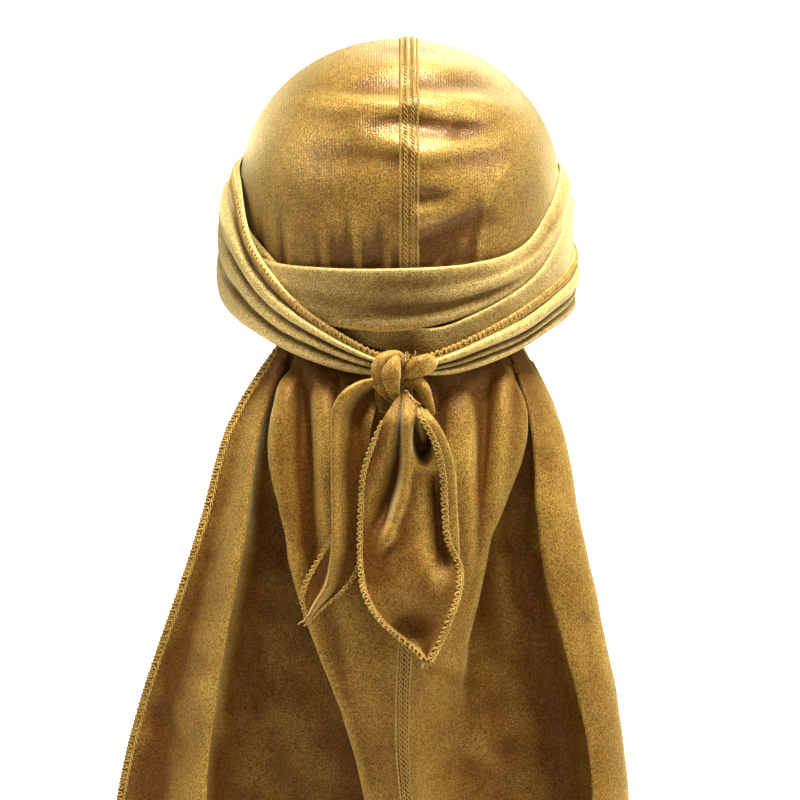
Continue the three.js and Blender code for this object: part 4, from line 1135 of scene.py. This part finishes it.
class DuragSettings(bpy.types.PropertyGroup):
    """The sizes and colours that a user would change."""

    # The deep and tip colours are the ends of a ramp along which the velvet also paints shade in
    # hollows, highlights on crests and a pale sheen at grazing views.
    velvet_deep: colour_setting(
        "Velvet, deep", "Colour in the depth of the crown's and cape's pile", (0.115, 0.042, 0.001))
    velvet_pale: colour_setting(
        "Velvet, tips", "Colour at the tips of the crown's and cape's pile", (0.45, 0.27, 0.055))
    strap_deep: colour_setting(
        "Strap, deep", "Colour in the depth of the straps' pile", (0.1, 0.048, 0.003))
    strap_pale: colour_setting(
        "Strap, tips", "Colour at the tips of the straps' pile", (0.59, 0.415, 0.145))
    sheen: colour_setting(
        "Sheen", "Colour of the pile's sheen where it is seen edge-on", (1.0, 0.87, 0.5))
    thread: colour_setting("Thread", "Colour of the sewing thread", (0.78, 0.49, 0.11))
    pitch: length_setting(
        "Stitch length", "Length of one overlock stitch", 0.0027, 0.0015, 0.006)
    edging: length_setting(
        "Edging width", "How far the overlock stitches reach in from an edge",
        0.0034, 0.002, 0.007)
    thread_radius: length_setting(
        "Thread radius", "Half of the thread's thickness", 0.0004, 0.0001, 0.0008)
    floor_drop: length_setting(
        "Floor level", "Height of the floor in the part's frame", -0.56, -1.5, -0.45)


# What each velvet is made with: the settings of its two colours, a tint of its tips, and the values
# that velvet() takes. The pile lies differently on each, so each catches the light its own way. The
# cape's and tails' dimmed tips (SHADED_TINT) and each velvet's lift are partly painted shade and
# light: darker on pieces that get less light, lighter on those that get more.
FULL, SHADED_TINT = (1, 1, 1), (0.84, 0.84, 0.85)
VELVETS = {
    "crown": ("velvet", FULL, dict(
        sheen_weight=0.8, metal=0.3, knit=0.25, rough=0.38, hollow=0.4, gloss=0.9, speck=1.9,
        turned=1.0, lift=0.1, grain=1500.0)),
    "cape": ("velvet", SHADED_TINT, dict(
        sheen_weight=0.3, knit=0.25, rough=0.56, hollow=0.6, turned=0.95, speck=1.4, lift=0.07)),
    "strap": ("strap", FULL, dict(
        sheen_weight=0.85, speck=1.7, grain=1650.0, hollow=0.68, lift=0.17, turned=1.2)),
    "tail": ("velvet", SHADED_TINT, dict(
        sheen_weight=0.5, speck=1.3, rough=0.54, hollow=0.5, lift=-0.05)),
    "knot": ("velvet", FULL, dict(
        sheen_weight=0.65, speck=1.4, knit=0.2, rough=0.52, turned=1.3, lift=0.12)),
}
# The thread's colour in its hollows, and at its brightest on the seams, as shares of the setting
THREAD_DEEP, SEAM_PALE = 0.3, 0.66


def settings():
    """The scene's settings."""
    return bpy.context.scene.durag


def dimmed(tone, shares):
    """A colour times a share for each channel."""
    return tuple(value * share for value, share in zip(tone, shares))


def cloth_of(name):
    """One of the velvets, made from the settings."""
    s = settings()
    family, tint, values = VELVETS[name]
    deep, pale = getattr(s, f"{family}_deep"), getattr(s, f"{family}_pale")
    return velvet(f"velvet_{name}", deep, dimmed(pale, tint), s.sheen, **values)


def thread_of(name, share=1.0):
    """The sewing thread, at a share of its full brightness."""
    s = settings()
    return thread_material(
        name, dimmed(s.thread, [THREAD_DEEP] * 3), dimmed(s.thread, [share] * 3), s.sheen)


def stitch_sizes():
    """Pitch, edging width and thread radius in millimetres."""
    s = settings()
    return s.pitch / MM, s.edging / MM, s.thread_radius / MM


def edge_stitches(grid, side, out_sign=1.0, start=0, thick=CLOTH, width=None):
    """An overlocked edge along the first (0) or last (-1) column of a grid, from the row start on:
    the wrapped threads, and a chain along their inner side on the face that out_sign picks."""
    pitch, edging, radius = stitch_sizes()
    width = width or edging
    edge, inner = grid[start:, side], grid[start:, 3 if side == 0 else -4]
    face = normals(grid)[start:, side] * out_sign
    line = track(edge, unit(inner - edge), face, pitch / STITCH_POINTS)
    path, inward, out, at = line
    grown = smooth(at, *GROWING)
    inside = (path + inward * (width * grown)[:, None], inward, out, at)
    return (
        overlock(line, width, pitch, thick, 0.9 * radius)
        + chain(inside, grown, pitch, thick / 2 + 0.2, 0.8 * radius))


# Each strap: its table, its folds, and its rows of stitches as (share of its width, first and last
# turn, width of the row). A row under 2 wide is a plain chain, the others are overlocked edges.
STRAPS = {
    "left": (LEFT_STRAP, LEFT_FOLDS, ((0.09, -118, -20, 4.4), (0.07, 130, 357, 3.0))),
    "right": (RIGHT_STRAP, RIGHT_FOLDS, ((0.07, -250, -354.5, 3.0), (0.975, 4, -42, 0.9))),
}


def strap_row(table, folds, share, start, stop, width):
    """One row of stitches along a strap."""
    pitch, _, radius = stitch_sizes()
    turn = np.linspace(start, stop, 900)
    on, low, up = (
        strap_point(table, folds, turn, share + beside, STRAP_THICK + above)
        for beside, above in ((0, 0), (0.02, 0), (0, 1)))
    line = track(on, low - on, up - on, pitch / STITCH_POINTS)
    if width < 2:
        return chain(line, width, pitch, 0.0, radius)
    path, inward, out, at = line
    edge = (path - inward * 1.1, inward, out, at)
    inside = (path + inward * (width - 1.2), inward, out, at)
    return overlock(edge, width, pitch, 0.5, radius) + chain(inside, 1.2, pitch, 0.25, 0.8 * radius)


# The overlocked edges of the tails: tail, edge, column of the grid, first row, width, and 1 where
# the inner chain is on the face that the sign probe finds or -1 on the other
TAIL_EDGES = (
    ("right", "left", 0, 17, 1.8, 1),
    ("right", "right", -1, 3, 2.3, -1),
    ("left", "front", 0, 67, 1.7, 1),
    ("left", "back", -1, 93, 1.7, 1),
)
# A point of each tail's grid that faces the reference view
TAIL_PROBES = {"right": (76, 24), "left": (60, 16)}
# Frayed threads: seed, then count, seen corners of their starts, out, lean, spread and radius
KNOT_FRAYS = (8, ((34, (399, 362), (409, 369), 107.0, (1.5, -1.8, 3.5), 3.0, 0.26),))
TAIL_FRAYS = (12, (
    (16, (423, 658), (430, 662), 128.0, (0.8, -0.8, -1.6), 2.0, 0.24),
    (14, (304, 616), (310, 621), 113.0, (-1.2, -0.8, -1.6), 2.0, 0.24)))


def fray_mesh(name, frays):
    """The frayed threads of one place."""
    seed, groups = frays
    rng = np.random.default_rng(seed)
    parts = [end for group in groups for end in frayed(rng, *group)]
    stitch_mesh(name, parts, thread_of("sewing_thread"))


# ---------------------------------------------------------------- operators


class DURAG_OT_crown(bpy.types.Operator):
    """Make the two crown panels, the seam between them and its four rows of stitches"""

    bl_idname = "durag.crown"
    bl_label = "Crown"

    def execute(self, context):
        cloth = cloth_of("crown")
        for side, word in ((-1, "left"), (1, "right")):
            outer, inner = crown_panel(side)
            # Painted shade in the crown's hollows, a painted highlight on its crests, and painted
            # shade low down above the straps.
            shaded_low = smooth(-outer[..., 2], 78, 108)  # painted shade low on the crown, above the straps
            relief = painted_shading_of(outer, 14, 0.5) - 0.5 * shaded_low
            piece = sheet_mesh(
                f"crown_{word}_velvet", outer, inner, relief, crown_uv(np.stack([outer, inner])),
                node=f"crown_{word}", slot="velvet_crown", material=cloth)
        half, high, deep = CROWN_TAPE
        route = np.linspace(*CROWN_ROUTE, 420)[:, None]
        top, base = (
            crown_point(
                np.where(route < 0, 180.0, 0.0), np.abs(route) + 0 * TAPE_ACROSS,
                CLOTH + lift * TAPE_PROFILE, slide=half * TAPE_ACROSS)
            for lift in (high, deep))
        sheet_mesh(
            "crown_seam_tape", top, base, None, crown_uv(np.stack([top, base])),
            node="crown_seam", slot="velvet_crown", material=cloth)
        out = normals(top)
        out = out * np.sign((out * (top - [0, 0, -RISE])).sum(-1, keepdims=True))
        rows = seam_rows(top, unit(np.gradient(top, axis=1)), out)
        stitch_mesh("crown_seam_stitches", rows, thread_of("seam_thread", SEAM_PALE))
        return {"FINISHED"}


class DURAG_OT_cape(bpy.types.Operator):
    """Make the two cape panels, the seam down the centre pleat and the overlocked edges and hem"""

    bl_idname = "durag.cape"
    bl_label = "Cape"

    def execute(self, context):
        cloth, thread = cloth_of("cape"), thread_of("sewing_thread")
        grid = cape_grid()
        seam = SEAM_FOLD * PER_FOLD
        n = normals(grid)
        sign = np.sign(-n[-1, seam, 1])
        for panel, word, side in zip(cape_panels(grid), ("left", "right"), (0, -1)):
            # The cape's top rows get painted shade below the straps.
            piece = make_sheet(
                f"cape_{word}_velvet", panel, CLOTH, shaded_to=0.17, node=f"cape_{word}",
                slot="velvet_cape", material=cloth)
            for part, made in (
                ("edge", edge_stitches(panel, side, sign, 6)),
                ("hem", edge_stitches(np.swapaxes(panel, 0, 1), -1, -sign)),
            ):
                node = f"cape_{word}_" + ("edging" if part == "edge" else "hem")
                stitch_mesh(f"cape_{word}_{part}_stitches", made, thread, node)
        half, high, deep = CAPE_TAPE
        middle, out = grid[CAPE_TAPE_START:, seam, None], n[CAPE_TAPE_START:, seam, None] * sign
        beside = unit(grid[:, seam + 1] - grid[:, seam - 1])[CAPE_TAPE_START:, None]
        across, profile = TAPE_ACROSS[:, None], TAPE_PROFILE[:, None]
        top, base = (
            middle + beside * half * across
            + out * (CLOTH / 2 + lift * profile - 0.5 * across**2)
            for lift in (high, deep))
        sheet_mesh(
            "cape_seam_tape", top, base, node="cape_seam", slot="velvet_cape", material=cloth)
        rows = seam_rows(top, beside, out)
        stitch_mesh("cape_seam_stitches", rows, thread_of("seam_thread", SEAM_PALE))
        return {"FINISHED"}


class DURAG_OT_straps(bpy.types.Operator):
    """Make the two straps that wrap the crown, with the rows of stitches along their edges"""

    bl_idname = "durag.straps"
    bl_label = "Straps"

    def execute(self, context):
        cloth, thread = cloth_of("strap"), thread_of("sewing_thread")
        for word, (table, folds, rows) in STRAPS.items():
            outer, inner = strap_grids(table, folds)
            # Painted shade in the folds' hollows and a painted highlight on their crests.
            relief = np.sign(table[-1, 0]) * -painted_shading_of(outer, 7, 0.8)
            piece = sheet_mesh(
                f"strap_{word}_velvet", outer, inner, relief, node=f"strap_{word}",
                slot="velvet_strap", material=cloth)
            made = [part for row in rows for part in strap_row(table, folds, *row)]
            stitch_mesh(f"strap_{word}_stitches", made, thread, f"strap_{word}_edging")
        return {"FINISHED"}


class DURAG_OT_knot(bpy.types.Operator):
    """Make the turns of the knot and the frayed threads at its top"""

    bl_idname = "durag.knot"
    bl_label = "Knot"

    def execute(self, context):
        cloth = cloth_of("knot")
        for name, bands in KNOT_BANDS.items():
            made = [band(stations, KNOT_FOLDS[name]) for stations in bands]
            points, faces = joined([(p, f) for p, f, _ in made])
            fill_mesh(
                f"{name}_velvet", points, faces, np.concatenate([u for _, _, u in made]),
                node=name, slot="velvet_strap", material=cloth)
        fray_mesh("knot_frayed_threads", KNOT_FRAYS)
        return {"FINISHED"}


class DURAG_OT_tails(bpy.types.Operator):
    """Make the leaf-shaped and the folded tail, with their overlocked edges"""

    bl_idname = "durag.tails"
    bl_label = "Tails"

    def execute(self, context):
        cloth, thread = cloth_of("tail"), thread_of("sewing_thread")
        grids = {"right": leaf_grid(), "left": fold_grid()}
        for word, grid in grids.items():
            piece = make_sheet(
                f"tail_{word}_velvet", grid, TAIL_CLOTH, 8.0, 1.0, node=f"tail_{word}",
                slot="velvet_strap", material=cloth)
        for word, edge, side, start, width, face in TAIL_EDGES:
            grid = grids[word]
            sign = face * np.sign(-normals(grid)[TAIL_PROBES[word]][1])
            made = edge_stitches(grid, side, sign, start, TAIL_CLOTH, width)
            name = f"tail_{word}_{edge}"
            stitch_mesh(f"{name}_stitches", made, thread, f"{name}_edging")
        fray_mesh("tail_frayed_threads", TAIL_FRAYS)
        return {"FINISHED"}


# Area lights: place in metres, size and power. They aim at the middle of the durag.
LIGHTS = {
    "top": ((0.2, -0.35, 1.5), 0.5, 50.0),
    "key": ((0.5, -1.0, 1.2), 0.6, 9.0),
    "left": ((-1.45, -0.35, 0.7), 0.8, 10.5),
    "right": ((1.5, -0.35, 0.75), 0.8, 12.0),
    "eye": ((0.25, -1.9, 0.1), 0.8, 1.0),
    "front": ((0.4, 1.5, 0.9), 1.2, 14.0),
}
LIT = (0, 0, -0.15)
FLOOR_RADIUS, FLOOR_SIDES = 7, 96


def linked(name, data):
    """A new object in the scene."""
    made = bpy.data.objects.new(name, data)
    bpy.context.scene.collection.objects.link(made)
    return made


def camera_ray(tree):
    """1 where the camera looks straight at a surface, 0 for every other ray."""
    return tree.nodes.new("ShaderNodeLightPath").outputs["Is Camera Ray"]


def make_floor():
    """A wide pale disc that glows white for the camera alone."""
    turn = np.linspace(0, 2 * np.pi, FLOOR_SIDES, endpoint=False)
    level = 0 * turn + settings().floor_drop
    rim = np.stack([FLOOR_RADIUS * np.cos(turn), FLOOR_RADIUS * np.sin(turn), level], 1)
    mesh = bpy.data.meshes.new("floor")
    mesh.from_pydata(rim.tolist(), [], [list(range(FLOOR_SIDES))])
    material, tree, shader = principled("pale_floor")
    where = tree.nodes.new("ShaderNodeTexCoord").outputs["Object"]
    grain = add_node(tree, "ShaderNodeTexNoise", {"Vector": where}, Scale=3.0)
    tone = add_node(
        tree, "ShaderNodeMapRange", {"Value": grain.outputs["Fac"]}, To_Min=0.9, To_Max=0.94)
    tree.links.new(tone.outputs["Result"], shader.inputs["Base Color"])
    tree.links.new(camera_ray(tree), shader.inputs["Emission Strength"])
    shader.inputs["Roughness"].default_value = 0.9
    mesh.materials.append(material)
    linked("floor", mesh)


def make_world():
    """Surroundings that are white to the camera and throw almost no light on the durag."""
    world = bpy.data.worlds.new("pale_room")
    world.use_nodes = True
    tree = world.node_tree
    tree.nodes.clear()
    strength = add_node(
        tree, "ShaderNodeMapRange", {"Value": camera_ray(tree)}, To_Min=0.05, To_Max=1.0)
    back = add_node(
        tree, "ShaderNodeBackground", {"Strength": strength.outputs["Result"]}, Color=(1, 1, 1, 1))
    out = tree.nodes.new("ShaderNodeOutputWorld")
    tree.links.new(back.outputs[0], out.inputs["Surface"])
    bpy.context.scene.world = world


class DURAG_OT_stage(bpy.types.Operator):
    """Make the floor, the lights, the pale surroundings and the camera"""

    bl_idname = "durag.stage"
    bl_label = "Stage"

    def execute(self, context):
        scene = context.scene
        make_floor()
        for name, (place, size, power) in LIGHTS.items():
            data = bpy.data.lights.new(name, "AREA")
            data.shape, data.size, data.energy = "DISK", size, power
            light = linked(name, data)
            light.location = place
            aim = Vector(LIT) - Vector(place)
            light.rotation_euler = aim.to_track_quat("-Z", "Y").to_euler()
        make_world()
        data = bpy.data.cameras.new("camera")
        data.lens, data.sensor_width, data.clip_end = 135, 36, 100
        camera = linked("camera", data)
        camera.location = EYE * MM
        camera.rotation_euler = Vector(AHEAD).to_track_quat("-Z", "Y").to_euler()
        scene.camera = camera
        scene.view_settings.view_transform = "Standard"
        scene.view_settings.look = "Medium High Contrast"
        return {"FINISHED"}


OPERATORS = (
    DURAG_OT_stage, DURAG_OT_crown, DURAG_OT_cape, DURAG_OT_straps, DURAG_OT_knot, DURAG_OT_tails,
)


class DURAG_PT_panel(bpy.types.Panel):
    """The durag's pieces and settings in the 3D view's sidebar"""

    bl_idname = "DURAG_PT_panel"
    bl_label = "Durag"
    bl_space_type = "VIEW_3D"
    bl_region_type = "UI"
    bl_category = "Durag"

    def draw(self, context):
        for name in DuragSettings.__annotations__:
            self.layout.prop(context.scene.durag, name)
        for operator in OPERATORS:
            self.layout.operator(operator.bl_idname)


CLASSES = (DuragSettings, *OPERATORS, DURAG_PT_panel)


def register():
    for item in CLASSES:
        bpy.utils.register_class(item)
    bpy.types.Scene.durag = PointerProperty(type=DuragSettings)


def unregister():
    del bpy.types.Scene.durag
    for item in reversed(CLASSES):
        bpy.utils.unregister_class(item)


def main():
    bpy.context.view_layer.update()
    register()
    for operator in OPERATORS:
        group, name = operator.bl_idname.split(".")
        getattr(getattr(bpy.ops, group), name)()


if __name__ == "__main__":
    main()
